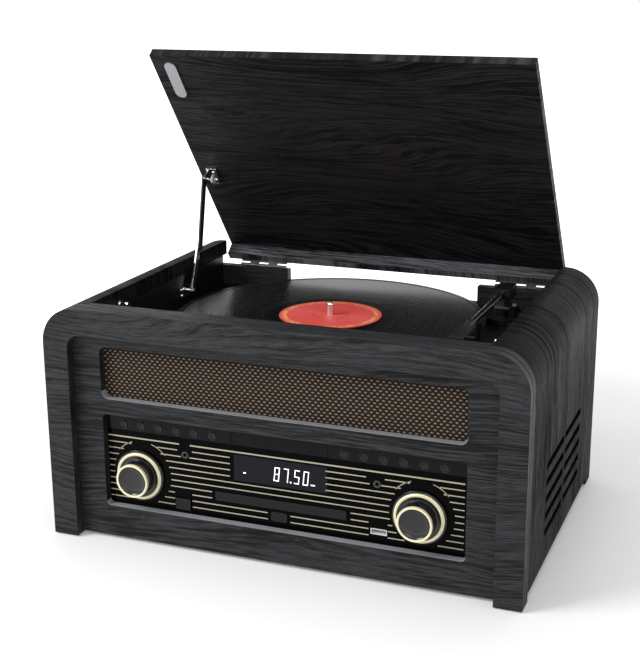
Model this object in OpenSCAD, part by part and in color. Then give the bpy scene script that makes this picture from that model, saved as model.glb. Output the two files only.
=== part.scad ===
// Table-top music centre: wooden cabinet with a record deck under a lid,
// a disc tray, a tuner display, two big knobs and a grille across the front.
// Millimetres. Origin at the middle of the whole outline, on the table. Front faces -Y.

/* [Cabinet] */
// Width of the cabinet
cab_w = 450; // [430:1:470]
// Depth of the cabinet, front frame to back panel
cab_d = 314; // [305:1:330]
// Height of the cabinet with the lid closed
cab_h = 223.5; // [218:0.5:235]
// Radius of the long rounded shoulders
shoulder_r = 34; // [28:1:38]
// Thickness of the side walls
side_t = 15; // [12:0.5:16]
// Width of the front frame's legs and top band
frame_band = 25; // [20:1:30]
// Depth of the front frame
frame_d = 20; // [16:1:24]
// Depth of the rail in front of the record well
rail_d = 25; // [24:1:27]
// Radius inside the front frame's corners
frame_inner_r = 13; // [6:1:18]
// Distance from the cabinet's side to the well opening
well_margin = 38; // [36:1:40]
// How far the front panel lies behind the frame's face
panel_recess = 10; // [6:0.5:11]
// Thickness of the front panel
panel_t = 8; // [6:0.5:9]
// Height of the front panel's lower edge above the table
panel_lift = 3; // [2:0.5:6]
// Height of the sides' lower edge between the feet
side_lift = 8.5; // [6:0.5:12]
// Thickness of the back panel
back_t = 10; // [8:0.5:12]
// Distance from the lid's top down to the back panel's top edge
back_drop = 25.5; // [24.5:0.5:29]
// Thickness of the bottom board
bottom_t = 9; // [6:0.5:10]
// Thickness of the foot pads
pad_t = 1.2; // [0.8:0.1:2]

/* [Side vents] */
// Length of one vent slot
vent_len = 75; // [50:1:80]
// Height of one vent slot
vent_h = 7.3; // [5:0.1:8.5]
// Height step from slot to slot
vent_pitch = 15.75; // [14:0.05:17]
// Rows of slots
vent_rows = 5; // [3:1:5]
// Height of the lowest slot's middle
vent_low = 37.2; // [32:0.1:40]

/* [Back notch] */
// Width of the notch that the record's edge passes through
notch_w = 212; // [205:1:220]
// Depth of the notch below the back panel's top
notch_h = 18; // [16:0.5:20]

/* [Front windows] */
// Width of the grille and fascia windows
window_w = 345; // [340:1:350]
// Lower edge of the grille window
grille_low = 138; // [134:0.5:140]
// Distance from the front panel's top down to the grille window
grille_gap = 11; // [10:0.5:15]
// Lower edge of the fascia window
fascia_low = 33; // [31:0.5:34]
// Height of the fascia window
fascia_h = 90; // [89:0.5:93]
// Corner radius of the grille window
grille_r = 7; // [3:0.5:10]
// Corner radius of the fascia window
fascia_r = 4; // [2:0.5:6]

/* [Fascia] */
// Thickness of the fascia moulding
fascia_t = 3; // [2.5:0.1:4]
// Height of the button strip along the fascia's top
strip_h = 15.5; // [14:0.5:16.5]
// Width of the bare plate between the button strips
plate_w = 92; // [80:1:96]
// Diameter of a round button
button_d = 7.5; // [6:0.1:8.5]
// Step from button to button
button_pitch = 18; // [16:0.5:18]
// Travel of a button
button_travel = 1; // [0.5:0.1:1.4]
// Width of the display window
display_w = 90; // [80:1:94]
// Height of the display window
display_h = 25; // [22:0.5:26]
// Width of the eject button
eject_w = 15; // [12:0.5:16]
// Height of the eject button
eject_h = 11; // [9:0.5:12]

/* [Knobs] */
// Distance from the window's edge to the volume knob's axis
volume_inset = 32.5; // [29:0.5:36]
// Distance from the window's edge to the tuning knob's axis
tuning_inset = 42.5; // [39:0.5:46]
// Height of both knobs' axes
knob_z = 64.5; // [62:0.5:66]
// Outer diameter of the knobs' skirt
knob_skirt_d = 50; // [44:0.5:52]
// Diameter of the knobs' wide pale ring
knob_ring_d = 46; // [40:0.5:46]
// Diameter of the knobs' grip barrel
knob_grip_d = 34; // [28:0.5:36]
// Reach of a knob in front of the fascia
knob_reach = 17.5; // [14:0.5:19]
// Radius of the encoder shaft
shaft_r = 3; // [2.5:0.1:3.5]

/* [Record deck] */
// Distance from the lid's top down to the deck floor
deck_drop = 46.5; // [46:0.5:48]
// Sideways place of the spindle
spindle_x = -12; // [-14:0.5:-8]
// Distance from the spindle to the front of the well
spindle_back = 152.2; // [152:0.1:153]
// Diameter of the record
record_d = 302; // [300:0.5:302.5]
// Thickness of the record
record_t = 2; // [1.6:0.1:2.4]
// Diameter of the record's paper label
label_d = 100; // [90:1:104]
// Diameter of the platter
platter_d = 200; // [180:1:220]
// Thickness of the platter's disc
platter_t = 5; // [4:0.1:6]
// Diameter of the slip mat
mat_d = 196; // [160:1:200]
// Radius of the spindle where the record is seated
spindle_r = 3.6; // [3.5:0.05:3.8]
// Radius of the spindle's free end above the record
spindle_tip_r = 3.3; // [3:0.05:3.4]
// Height of the spindle above the record
spindle_up = 13; // [8:0.5:15]

/* [Tonearm] */
// Distance from the spindle to the arm's pivot, sideways
arm_dx = 153; // [152:1:158]
// Distance from the spindle to the arm's pivot, backwards
arm_dy = 78; // [72:1:84]
// Length from the pivot to the stylus
arm_len = 168; // [160:1:172]
// Height of the arm tube's axis above the deck floor
arm_up = 30.5; // [30:0.5:31]
// Diameter of the arm tube
arm_tube_d = 6; // [4:0.5:7]

/* [Lid] */
// Thickness of the lid panel
lid_t = 9; // [7:0.5:11]
// Thickness of the lid's rear strip
strip_t = 9; // [7:0.5:11]
// Gap between the lid and the well opening
lid_gap = 1; // [0.6:0.1:1.6]
// How far the lid stands open
lid_open = 51.5; // [48:0.5:54]
// Distance from the lid's top down to the hinge axis
hinge_drop = 28; // [27.5:0.1:28.5]
// How far the hinge axis lies behind the back panel
hinge_out = 4; // [3.8:0.1:4.4]
// Length of each hinge
hinge_len = 54; // [44:1:60]
// Distance from the middle to each hinge
hinge_x = 144; // [140:1:148]

/* [Lid stay] */
// Distance of the wall pivot in front of the back panel
stay_back = 98; // [96:0.5:100]
// Distance from the lid's top down to the wall pivot
stay_drop = 33; // [32.5:0.1:33.5]
// Length of the lower stay arm
stay_low_len = 46; // [45:0.5:47]
// Length of the upper stay arm
stay_up_len = 72; // [71:0.5:72]

/* [Disc drive] */
// Width of the tray's front
tray_w = 126.5; // [124:0.5:130]
// Height of the tray's front
tray_h = 8.5; // [8:0.1:9.5]
// Lower edge of the tray's front
tray_low = 51.2; // [50.8:0.1:51.6]
// Depth of the tray
tray_d = 160; // [155:1:165]
// Diameter of the disc recess in the tray
disc_d = 121; // [120.5:0.1:122]

/* [Hidden] */
$fn = 64;
eps = 0.5;                                     // overshoot of a cutting tool

// outline: the open lid is the rearmost thing, so the origin follows it
lid_rear = hinge_out * (1 - cos(lid_open)) + hinge_drop * sin(lid_open);
face_y = -(cab_d + lid_rear) / 2;              // front of the cabinet
back_y = face_y + cab_d;                       // back of the cabinet
half_w = cab_w / 2;
well_x = half_w - well_margin;                 // half width of the well
well_y = face_y + rail_d;                      // front of the well
panel_y = face_y + panel_recess;               // front of the front panel
fascia_y = panel_y + panel_t;                  // front of the fascia and of the cloth
inner_x = half_w - side_t;                     // inside of the side walls
inner_top = cab_h - side_t;                    // underside of the shoulders' top
inner_r = shoulder_r - side_t;                 // radius inside the shoulders
sides_y = face_y + frame_d;                    // front end of the side walls
panel_half = half_w - frame_band;
panel_top = cab_h - frame_band;
bottom_z = side_lift;                          // underside of the bottom board
floor_z = bottom_z + bottom_t;                 // top of the bottom board
back_top = cab_h - back_drop;
hinge_y = back_y + hinge_out;
hinge_z = cab_h - hinge_drop;
vent_gap = 7;                                  // between the two columns of slots
vent_back = 76.5;                              // from the last slot's end to the back
notch_left = -110;                             // left end of the back notch
pad_r = 8;                                     // foot pads under the frame
rear_pad_r = 6;
screw_r = 3;
screw_head = 1.4;                              // how far a screw head stands out

// fascia layout
window_half = window_w / 2;
grille_h = panel_top - grille_gap - grille_low;
grille_mid = grille_low + grille_h / 2;
volume_x = volume_inset - window_half;
tuning_x = window_half - tuning_inset;
strip_top = fascia_low + fascia_h;
strip_z = strip_top - strip_h;                 // lower edge of the button strip
button_z = strip_z + 5.8;
group_size = 6;                                // buttons on each side
group_mid = (plate_w + window_w) / 4;          // middle of the left group
right_group_in = 2.25;                         // the right group lies nearer the middle
group_half = (group_size - 1) / 2 * button_pitch;
display_z = fascia_low + 40;                   // lower edge of the display window
usb_x = 93;
usb_z = 44.8;
usb_w = 15;
usb_h = 5.4;
jack_r = 1.75;                                 // bore of a 3.5 mm socket
socket_r = 3.5;                                // its collar in the fascia
phones = [-93.5, 90.5];                        // X and Z of the headphone socket
aux = [91, 89];                                // X and Z of the line socket
eject_x = -96;
eject_z = 42.5;
slide_gap = 0.3;                               // running gap around buttons and tray
board_y = fascia_y + 14;                       // front of the control board
board_t = 1.6;
switch_top = board_y - 3.2;                    // front of the small switch behind a button
plunger_end = switch_top - button_travel - slide_gap;

// record deck
deck_z = cab_h - deck_drop;
spindle_y = well_y + spindle_back;
platter_z = deck_z + 4.5;                      // underside of the platter's disc
mat_t = 1.5;
record_z = platter_z + platter_t + mat_t;      // underside of the record
record_top = record_z + record_t;
drive_ring_r = 58;                             // ring under the platter that the belt turns
drive_ring_h = 10;
drive_ring_t = 3;
hub_r = 9;                                     // platter's hub round the spindle
belt_t = 0.8;
belt_h = 4;
belt_gap = 0.3;                                // belt to ring and pulley
belt_z = platter_z - 7.5;
motor_to = [-84, 52];                          // from the spindle to the motor
motor_x = spindle_x + motor_to[0];
motor_y = spindle_y + motor_to[1];
motor_dist = norm(motor_to);
motor_r = 17;
motor_h = 22;
motor_shaft_r = 1;
pulley_r = 6;
deck_t = 3;
well_floor_z = platter_z - drive_ring_h - 4;   // floor of the recess under the platter
well_under_z = well_floor_z - deck_t;
well_floor_r = 72;
motor_well_r = 48;                             // wide enough for both runs of the belt
shelf_z = deck_z + 8;                          // shelf over the speakers
shelf_y = well_y + 20;
rail_gap = 0.2;                                // deck moulding to the front frame

// tonearm
pivot_x = spindle_x + arm_dx;
pivot_y = spindle_y + arm_dy;
arm_z = deck_z + arm_up;
post_r = 3.5;
run_gap = 0.05;                                // radial clearance of a turning pin
arm_lower = 2.7;                               // degrees from raised to playing

// lid
lid_under = cab_h - lid_t;                     // underside of the closed lid
lid_front = well_y + lid_gap;
lid_half = well_x - lid_gap;
strip_low = hinge_z + 5.5;                     // lower edge of the closed rear strip
stay_x = -well_x + 6;                          // plane of the stay's arms
stay_y = back_y - stay_back;
stay_z = cab_h - stay_drop;
stay_pin_r = 2;

// disc drive
tray_t = 5;
tray_mid = tray_low + tray_h / 2;
tray_margin = 8;                               // from the fascia to the disc recess
disc_y = fascia_y + tray_margin + disc_d / 2;  // middle of the disc, tray closed
drive_half = tray_w / 2 + 4;
drive_y = fascia_y + fascia_t;

// ---- helpers
module block(x0, x1, y0, y1, z0, z1) {
    translate([x0, y0, z0]) cube([x1 - x0, y1 - y0, z1 - z0]);
}
// outline in X and Z, carried from y0 to y1
module carry_y(y0, y1) {
    translate([0, y1, 0]) rotate([90, 0, 0]) linear_extrude(y1 - y0) children();
}
module rod_y(x, z, r, y0, y1) {
    translate([x, y1, z]) rotate([90, 0, 0]) cylinder(h = y1 - y0, r = r);
}
module rod_x(y, z, r, x0, x1) {
    translate([x0, y, z]) rotate([0, 90, 0]) cylinder(h = x1 - x0, r = r);
}
module rod_z(x, y, r, z0, z1) {
    translate([x, y, z0]) cylinder(h = z1 - z0, r = r);
}
// rectangle with round corners, from its lower left corner
module soft_rect(x0, z0, w, h, r) {
    translate([x0 + r, z0]) square([w - 2 * r, h]);
    translate([x0, z0 + r]) square([w, h - 2 * r]);
    for (x = [x0 + r, x0 + w - r], z = [z0 + r, z0 + h - r]) translate([x, z]) circle(r);
}
// upright rectangle from z0 to z1 with only the upper corners rounded
module arch(half, z0, z1, r) {
    translate([-half, z0]) square([2 * half, z1 - z0 - r]);
    translate([-half + r, z0]) square([2 * half - 2 * r, z1 - z0]);
    for (x = [-half + r, half - r]) translate([x, z1 - r]) circle(r);
}
// a piece of the lid, drawn closed and turned open about the hinge
module opened() {
    translate([0, hinge_y, hinge_z]) rotate([-lid_open, 0, 0])
        translate([0, -hinge_y, -hinge_z]) children();
}
module at_stay(y, z, turn) {
    translate([0, y, z]) rotate([turn, 0, 0]) children();
}

// ---- cabinet
module front_frame() {
    color("#2b2d2f") union() {
        carry_y(face_y, face_y + frame_d) difference() {
            arch(half_w, pad_t, cab_h, shoulder_r);
            arch(panel_half, pad_t - eps, panel_top, frame_inner_r);
        }
        block(-well_x, well_x, face_y + frame_d, well_y, panel_top, cab_h);
    }
}
// the hollow inside the cabinet, seen from the front
module hollow_outline(z0) {
    arch(inner_x, z0, inner_top, inner_r);
}
module side_outline() {
    difference() {
        intersection() {
            arch(half_w, pad_t, cab_h, shoulder_r);
            translate([well_x, pad_t]) square([well_margin, cab_h]);
        }
        hollow_outline(pad_t - eps);
    }
}
module side_wall() {
    foot = frame_d;
    foot_r = side_lift - pad_t;
    difference() {
        carry_y(sides_y, back_y) side_outline();
        // the long gap between the feet, with a round run-up behind each foot
        block(inner_x - eps, half_w + eps, sides_y - eps, back_y - foot - foot_r, 0, side_lift);
        difference() {
            block(inner_x - eps, half_w + eps, back_y - foot - foot_r - eps, back_y - foot, 0, side_lift);
            rod_x(back_y - foot, side_lift, foot_r, inner_x - 2 * eps, half_w + 2 * eps);
        }
        for (row = [0 : vent_rows - 1], column = [0, 1])
            translate([inner_x - eps, back_y - vent_back - vent_len - column * (vent_len + vent_gap),
                    vent_low + row * vent_pitch - vent_h / 2])
                cube([side_t + 2 * eps, vent_len, vent_h]);
    }
}
module right_side() { color("#2f3133") side_wall(); }
module left_side() { color("#2f3133") mirror([1, 0, 0]) side_wall(); }
module front_panel() {
    color("#303335") carry_y(panel_y, fascia_y) difference() {
        arch(panel_half, panel_lift, panel_top, frame_inner_r);
        soft_rect(-window_half, grille_low, window_w, grille_h, grille_r);
        soft_rect(-window_half, fascia_low, window_w, fascia_h, fascia_r);
    }
}
module back_panel() {
    terminal_gap = 0.2;
    color("#1b1c1d") carry_y(back_y - back_t, back_y) difference() {
        intersection() {
            hollow_outline(floor_z);
            translate([-inner_x, floor_z]) square([2 * inner_x, back_top - floor_z]);
        }
        translate([notch_left, back_top - notch_h]) square([notch_w, notch_h + eps]);
        translate([terminal_x - terminal_gap, terminal_z - terminal_gap])
            square([terminal_w + 2 * terminal_gap, terminal_h + 2 * terminal_gap]);
    }
}
module bottom_board() {
    slot_w = 50;
    slot_h = 4;
    slot_rows = 11;
    slot_pitch = 14;
    slot_x = inner_x - 70;
    color("#222222") difference() {
        block(-inner_x, inner_x, sides_y, back_y, bottom_z, floor_z);
        for (side = [-1, 1], row = [0 : slot_rows - 1])
            translate([side * slot_x, (row - (slot_rows - 1) / 2) * slot_pitch, 0])
                block(-slot_w / 2, slot_w / 2, -slot_h / 2, slot_h / 2, bottom_z - eps, floor_z + eps);
    }
}
module foot_pads() {
    color("#111111") for (side = [-1, 1]) {
        rod_z(side * (half_w - frame_band / 2), face_y + frame_d / 2, pad_r, 0, pad_t);
        rod_z(side * (half_w - side_t / 2), back_y - frame_d / 2, rear_pad_r, 0, pad_t);
    }
}
module cabinet_screws() {
    edge = 25;                                 // screw to the edge of its board
    color("#777777") for (side = [-1, 1]) {
        for (y = [sides_y + edge, back_y - edge])
            rod_z(side * (inner_x - edge), y, screw_r, bottom_z - screw_head, bottom_z);
        for (z = [floor_z + edge, back_top - edge])
            rod_y(side * (inner_x - edge), z, screw_r, back_y, back_y + screw_head);
    }
}

// ---- deck
module deck_moulding() {
    inner_back = back_y - back_t;
    front = sides_y + rail_gap;
    wall_t = 2;                                // skirt along each side of the well
    floor_low = deck_z - deck_t;
    color("#141414") difference() {
        union() {
            block(-well_x, well_x, shelf_y, inner_back, floor_low, deck_z);
            block(-well_x, well_x, shelf_y, shelf_y + deck_t, floor_low, shelf_z);
            block(-well_x, well_x, front, shelf_y + deck_t, shelf_z - deck_t, shelf_z);
            block(-well_x - wall_t, -well_x, front, inner_back, floor_low, inner_top);
            block(well_x, well_x + wall_t, front, inner_back, floor_low, inner_top);
            rod_z(spindle_x, spindle_y, well_floor_r + deck_t, well_under_z, deck_z);
            rod_z(motor_x, motor_y, motor_well_r + deck_t, well_under_z, deck_z);
        }
        rod_z(spindle_x, spindle_y, well_floor_r, well_floor_z, deck_z + eps);
        rod_z(motor_x, motor_y, motor_well_r, well_floor_z, deck_z + eps);
        rod_z(spindle_x, spindle_y, spindle_r, well_under_z - eps, well_floor_z + eps);
        rod_z(motor_x, motor_y, pulley_r + 1, well_under_z - eps, well_floor_z + eps);
        rod_z(pivot_x, pivot_y, base_stub_r, floor_low - eps, deck_z + eps);
        block(switch_x - switch_slot / 2, switch_x + switch_slot / 2, switch_y - switch_half - 0.4,
            switch_y + switch_half + 0.4, floor_low - eps, deck_z + eps);
    }
}
module platter_motor() {
    color("silver") difference() {
        rod_z(motor_x, motor_y, motor_r, well_under_z - motor_h, well_under_z);
        rod_z(motor_x, motor_y, motor_shaft_r + run_gap, well_under_z - motor_h / 2, well_under_z + eps);
    }
}
module motor_pulley() {
    flange_h = 1;                              // beyond the belt, above and below
    color("#cfcfd0") union() {
        rod_z(motor_x, motor_y, motor_shaft_r, well_under_z - motor_h / 2 + eps, belt_z);
        rod_z(motor_x, motor_y, pulley_r, belt_z - flange_h, belt_z + belt_h + flange_h);
    }
}
// two arcs and two straights around the platter's ring and the pulley
module belt_loop(ring, wheel) {
    turn = atan2(motor_to[1], motor_to[0]);
    lean = acos((drive_ring_r - pulley_r) / motor_dist);
    function at(r, angle) = [r * cos(angle), r * sin(angle)];
    circle(ring, $fn = 96);
    translate(motor_to) circle(wheel);
    polygon([[0, 0], at(ring, turn + lean), motor_to + at(wheel, turn + lean),
        motor_to + at(wheel, turn - lean), at(ring, turn - lean)]);
}
module drive_belt() {
    color("#0d0d0d") translate([spindle_x, spindle_y, belt_z]) linear_extrude(belt_h) difference() {
        belt_loop(drive_ring_r + belt_gap + belt_t, pulley_r + belt_gap + belt_t);
        belt_loop(drive_ring_r + belt_gap, pulley_r + belt_gap);
    }
}
module platter_spindle() {
    boss_r = 8;
    low = well_under_z - 8;
    tip = record_top + spindle_up;
    color("silver") union() {
        rod_z(spindle_x, spindle_y, spindle_r, low, record_top);
        rod_z(spindle_x, spindle_y, spindle_tip_r, record_top, tip - spindle_tip_r);
        translate([spindle_x, spindle_y, tip - spindle_tip_r]) sphere(r = spindle_tip_r);
        rod_z(spindle_x, spindle_y, boss_r, low, well_under_z);
    }
}
module platter() {
    ring_z = platter_z - drive_ring_h;
    color("#2a2a2a") translate([spindle_x, spindle_y, 0]) difference() {
        union() {
            translate([0, 0, platter_z]) cylinder(h = platter_t, d = platter_d, $fn = 128);
            translate([0, 0, ring_z]) difference() {
                cylinder(h = drive_ring_h, r = drive_ring_r, $fn = 96);
                translate([0, 0, -eps]) cylinder(h = drive_ring_h, r = drive_ring_r - drive_ring_t, $fn = 96);
            }
            translate([0, 0, ring_z]) cylinder(h = drive_ring_h, r = hub_r);
        }
        translate([0, 0, ring_z - eps])
            cylinder(h = drive_ring_h + platter_t + 2 * eps, r = spindle_r + run_gap);
    }
}
module slip_mat() {
    color("#1c1c1c") translate([spindle_x, spindle_y, platter_z + platter_t]) difference() {
        cylinder(h = mat_t, d = mat_d, $fn = 96);
        translate([0, 0, -eps]) cylinder(h = mat_t + 2 * eps, r = spindle_r + run_gap);
    }
}
module record() {
    groove_drop = 0.4;                         // grooved part below the label and the bead
    bead_w = 3;
    color("#0b0b0b") translate([spindle_x, spindle_y, record_z]) difference() {
        union() {
            cylinder(h = record_t - groove_drop, d = record_d, $fn = 180);
            cylinder(h = record_t, d = label_d, $fn = 96);
            // raised outer bead
            difference() {
                cylinder(h = record_t, d = record_d, $fn = 180);
                translate([0, 0, -eps])
                    cylinder(h = record_t + 2 * eps, d = record_d - 2 * bead_w, $fn = 180);
            }
        }
        translate([0, 0, -eps]) cylinder(h = record_t + 2 * eps, r = spindle_r + run_gap);
    }
}

// ---- tonearm
base_stub_r = 9;
switch_x = well_x - 20;
switch_y = pivot_y - 96;
switch_half = 2.6;                             // half depth of the speed switch's stem
switch_slot = 18;
clip_y = pivot_y - 117;
arm_r = arm_tube_d / 2;
post_top = arm_z - 5;
yoke_z = arm_z - 12;                           // underside of the turning yoke
yoke_r = 8;
housing_half = 8;
housing_front = 10;
housing_back = 20;
housing_t = 1.5;
housing_top = arm_z + 4.5;
housing_low = arm_z - 7.5;
axle_r = 1.2;
cue_y = pivot_y - 18;
cue_z = arm_z - 12;
cue_r = 2;
rest_z = arm_z - arm_r - (pivot_y - clip_y) * sin(arm_lower) - 0.8;
shell_len = 46;                                // length of the headshell
tube_out = shell_len - 8;                      // tube's end behind the stylus
module tonearm_base() {
    plinth_r = 18;
    plinth_h = 6;
    tower_in = pivot_x + 11;                   // sides of the cue lever's tower
    tower_out = pivot_x + 17;
    tower_half = 5;
    rest_half = 5;                             // open rest for the parked arm
    rest_t = 3;
    side_in = pivot_x + arm_r + 1;             // upright beside the parked arm
    color("#191919") {
        difference() {
            union() {
                rod_z(pivot_x, pivot_y, plinth_r, deck_z, deck_z + plinth_h);
                rod_z(pivot_x, pivot_y, base_stub_r, deck_z - deck_t, deck_z + eps);
                rod_z(pivot_x, pivot_y, yoke_r, deck_z, yoke_z);
                block(tower_in - 2, tower_out, cue_y - 7, pivot_y + tower_half,
                    deck_z, deck_z + plinth_h - 1);
                block(tower_in, tower_out, cue_y - tower_half, cue_y + tower_half,
                    deck_z, cue_z + 2 * cue_r);
            }
            rod_x(cue_y, cue_z, cue_r + run_gap, tower_in - eps, tower_out + eps);
        }
        rod_z(pivot_x, pivot_y, post_r, yoke_z - 1, post_top);
        // the rest is low enough that the lowered arm still clears it
        block(pivot_x - rest_half, pivot_x + rest_half, clip_y - rest_t, clip_y + rest_t, deck_z, rest_z);
        block(side_in, side_in + rest_t, clip_y - rest_t, clip_y + rest_t, rest_z - 2 * rest_t, arm_z + 1);
    }
}
module tonearm_gimbal() {
    color("#1e1e1e") difference() {
        union() {
            rod_z(pivot_x, pivot_y, yoke_r, yoke_z, yoke_z + 3);
            block(pivot_x - 5, pivot_x + 5, pivot_y - 6, pivot_y + 6, yoke_z + 2, arm_z + 2.2);
        }
        rod_z(pivot_x, pivot_y, post_r + run_gap, yoke_z - eps, post_top + 0.3);
        rod_x(pivot_y, arm_z, axle_r + run_gap, pivot_x - 9, pivot_x + 9);
    }
}
module tonearm_tube() {
    color("#c9cbcd") {
        rod_y(pivot_x, arm_z, arm_r, pivot_y - arm_len + tube_out, pivot_y - housing_front);
        // housing over the pivot, open below
        difference() {
            block(pivot_x - housing_half, pivot_x + housing_half, pivot_y - housing_front,
                pivot_y + housing_back, housing_low, housing_top);
            block(pivot_x - housing_half + housing_t, pivot_x + housing_half - housing_t,
                pivot_y - housing_front + housing_t, pivot_y + housing_back - housing_t,
                housing_low - eps, housing_top - housing_t);
        }
        for (side = [-1, 1])
            rod_x(pivot_y, arm_z, axle_r, pivot_x + (side > 0 ? 1 : -housing_half + 0.5),
                pivot_x + (side > 0 ? housing_half - 0.5 : -1));
    }
}
module headshell() {
    tip_z = record_top + arm_len * sin(arm_lower);
    shell_half = 7;
    shell_z = arm_z - 2.5;                     // underside of the shell's plate
    shell_t = 4;
    cartridge_half = 5.5;
    cartridge_h = 6.5;                         // below the plate
    lift_len = 8;                              // finger lift beside the shell
    color("#151515") translate([pivot_x, pivot_y - arm_len, 0]) difference() {
        union() {
            block(-shell_half, shell_half, -8, shell_len - 12, shell_z, shell_z + shell_t);
            block(-cartridge_half, cartridge_half, -6, 12, shell_z - cartridge_h, shell_z + 1);
            block(shell_half, shell_half + lift_len, -2, 1, arm_z, arm_z + 1.4);
            translate([0, 0, tip_z]) cylinder(h = shell_z - cartridge_h + eps - tip_z, r1 = 0.3, r2 = 2);
            rod_y(0, arm_z, arm_r + 1.4, tube_out - 8, tube_out + 6);
        }
        rod_y(0, arm_z, arm_r, tube_out, tube_out + 10);
    }
}
module counterweight() {
    inner = housing_half - housing_t;
    color("#2a2a2b") block(pivot_x - inner, pivot_x + inner, pivot_y + 9,
        pivot_y + housing_back - housing_t, housing_low + eps, housing_top - housing_t);
}
module cue_lever() {
    finger_half = 1.2;
    lever_len = 24;
    color("#202020") {
        rod_x(cue_y, cue_z, cue_r, pivot_x - 4, pivot_x + 23);
        // finger under the arm: narrow, so that its corners stay clear of the arm as it turns
        block(pivot_x - 4, pivot_x + 5, cue_y - finger_half, cue_y + finger_half, cue_z, arm_z - arm_r - 0.5);
        // hand lever
        translate([pivot_x + 20, cue_y, cue_z]) rotate([-25, 0, 0])
            translate([-2, -lever_len, -1.5]) cube([4, lever_len, 3]);
    }
}
module speed_switch() {
    color("#333333") block(switch_x - 3, switch_x + 3, switch_y - switch_half, switch_y + switch_half,
        deck_z - deck_t, deck_z + 3);
}

// ---- front, behind the panel
cloth_t = 1.2;
baffle_t = 4;
cloth_edge = 6;                                // cloth and baffle beyond the window's edge
speaker_x = 118;
module speaker_baffle() {
    front = fascia_y + cloth_t;
    opening = [80, grille_h - 11.5];
    color("#20180f") carry_y(front, front + baffle_t) difference() {
        soft_rect(-window_half - cloth_edge, grille_low - cloth_edge, window_w + 2 * cloth_edge,
            shelf_z - deck_t - grille_low + cloth_edge - 0.4, 3);
        for (side = [-1, 1])
            soft_rect(side * speaker_x - opening[0] / 2, grille_mid - opening[1] / 2 - 2.75,
                opening[0], opening[1], opening[1] / 2 - 1);
    }
}
module grille_cloth() {
    color("#4a3320") carry_y(fascia_y, fascia_y + cloth_t)
        soft_rect(-window_half - cloth_edge, grille_low - cloth_edge, window_w + 2 * cloth_edge,
            grille_h + 2 * cloth_edge, 3);
}
module speakers() {
    back = fascia_y + cloth_t + baffle_t;
    frame_size = [90, grille_h - 6.5];
    basket_size = [80, grille_h - 12.5];
    cone_size = [74, grille_h - 16.5];
    mid = grille_mid - 4.25;
    module oval(size, r) {
        soft_rect(-size[0] / 2, mid - size[1] / 2, size[0], size[1], r);
    }
    for (side = [-1, 1]) color("#444444") translate([side * speaker_x, 0, 0]) difference() {
        union() {
            carry_y(back, back + 3) oval(frame_size, 4);
            carry_y(back + 3, back + 16) oval(basket_size, basket_size[1] / 2 - 0.5);
            rod_y(0, mid, basket_size[1] / 2 - 4.5, back + 16, back + 30);
        }
        // the open cone in front
        carry_y(back - eps, back + 8) oval(cone_size, cone_size[1] / 2 - 0.5);
    }
}
function button_x(i) = i < group_size
    ? -group_mid - group_half + i * button_pitch
    : group_mid - right_group_in - group_half + (i - group_size) * button_pitch;
last_button = 2 * group_size - 1;
flange = 6;                                    // how far the fascia reaches behind the panel
// a cut through the fascia, from its lower left corner
module through(x, z, w, h) {
    block(x, x + w, fascia_y - eps, drive_y + eps, z, z + h);
}
module round_through(x, z, r) {
    rod_y(x, z, r, fascia_y - eps, drive_y + eps);
}
module fascia() {
    shaft_gap = 1.5;
    color("#101011") difference() {
        carry_y(fascia_y, drive_y)
            soft_rect(-window_half - flange, fascia_low - flange,
                window_w + 2 * flange, fascia_h + flange + 4, 3);
        through(-display_w / 2, display_z, display_w, display_h);
        through(-tray_w / 2 - slide_gap, tray_low - slide_gap,
            tray_w + 2 * slide_gap, tray_h + 2 * slide_gap);
        through(usb_x - usb_w / 2, usb_z - usb_h / 2, usb_w, usb_h);
        through(eject_x - eject_w / 2 - slide_gap, eject_z - eject_h / 2 - slide_gap,
            eject_w + 2 * slide_gap, eject_h + 2 * slide_gap);
        for (spot = [phones, aux]) round_through(spot[0], spot[1], socket_r);
        for (x = [volume_x, tuning_x]) round_through(x, knob_z, shaft_r + shaft_gap);
        for (i = [0 : last_button]) round_through(button_x(i), button_z, button_d / 2 + slide_gap);
    }
}
strip_out = 1.2;                               // how far the strips stand in front of the fascia
strip_gap = 0.4;                               // between the strips, the plate and the window's edge
module button_strips() {
    strip_w = window_half - plate_w / 2 - 2 * strip_gap;
    for (side = [-1, 1]) color("#1a1b1d") difference() {
        carry_y(fascia_y - strip_out, fascia_y) intersection() {
            translate([side > 0 ? plate_w / 2 + strip_gap : strip_gap - window_half, strip_z])
                square([strip_w, strip_h]);
            soft_rect(strip_gap - window_half, fascia_low,
                window_w - 2 * strip_gap, fascia_h - strip_gap, fascia_r);
        }
        for (i = side < 0 ? [0 : group_size - 1] : [group_size : last_button])
            rod_y(button_x(i), button_z, button_d / 2 + slide_gap, fascia_y - 2, fascia_y + eps);
    }
    color("#0c0c0d") block(-plate_w / 2, plate_w / 2, fascia_y - 1, fascia_y, strip_z, strip_top - strip_gap);
}
module display_window() {
    color("#20242a", 0.6) block(-display_w / 2, display_w / 2, fascia_y + 0.4, drive_y - 0.6,
        display_z, display_z + display_h);
}
switch_r = 2.4;
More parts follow.
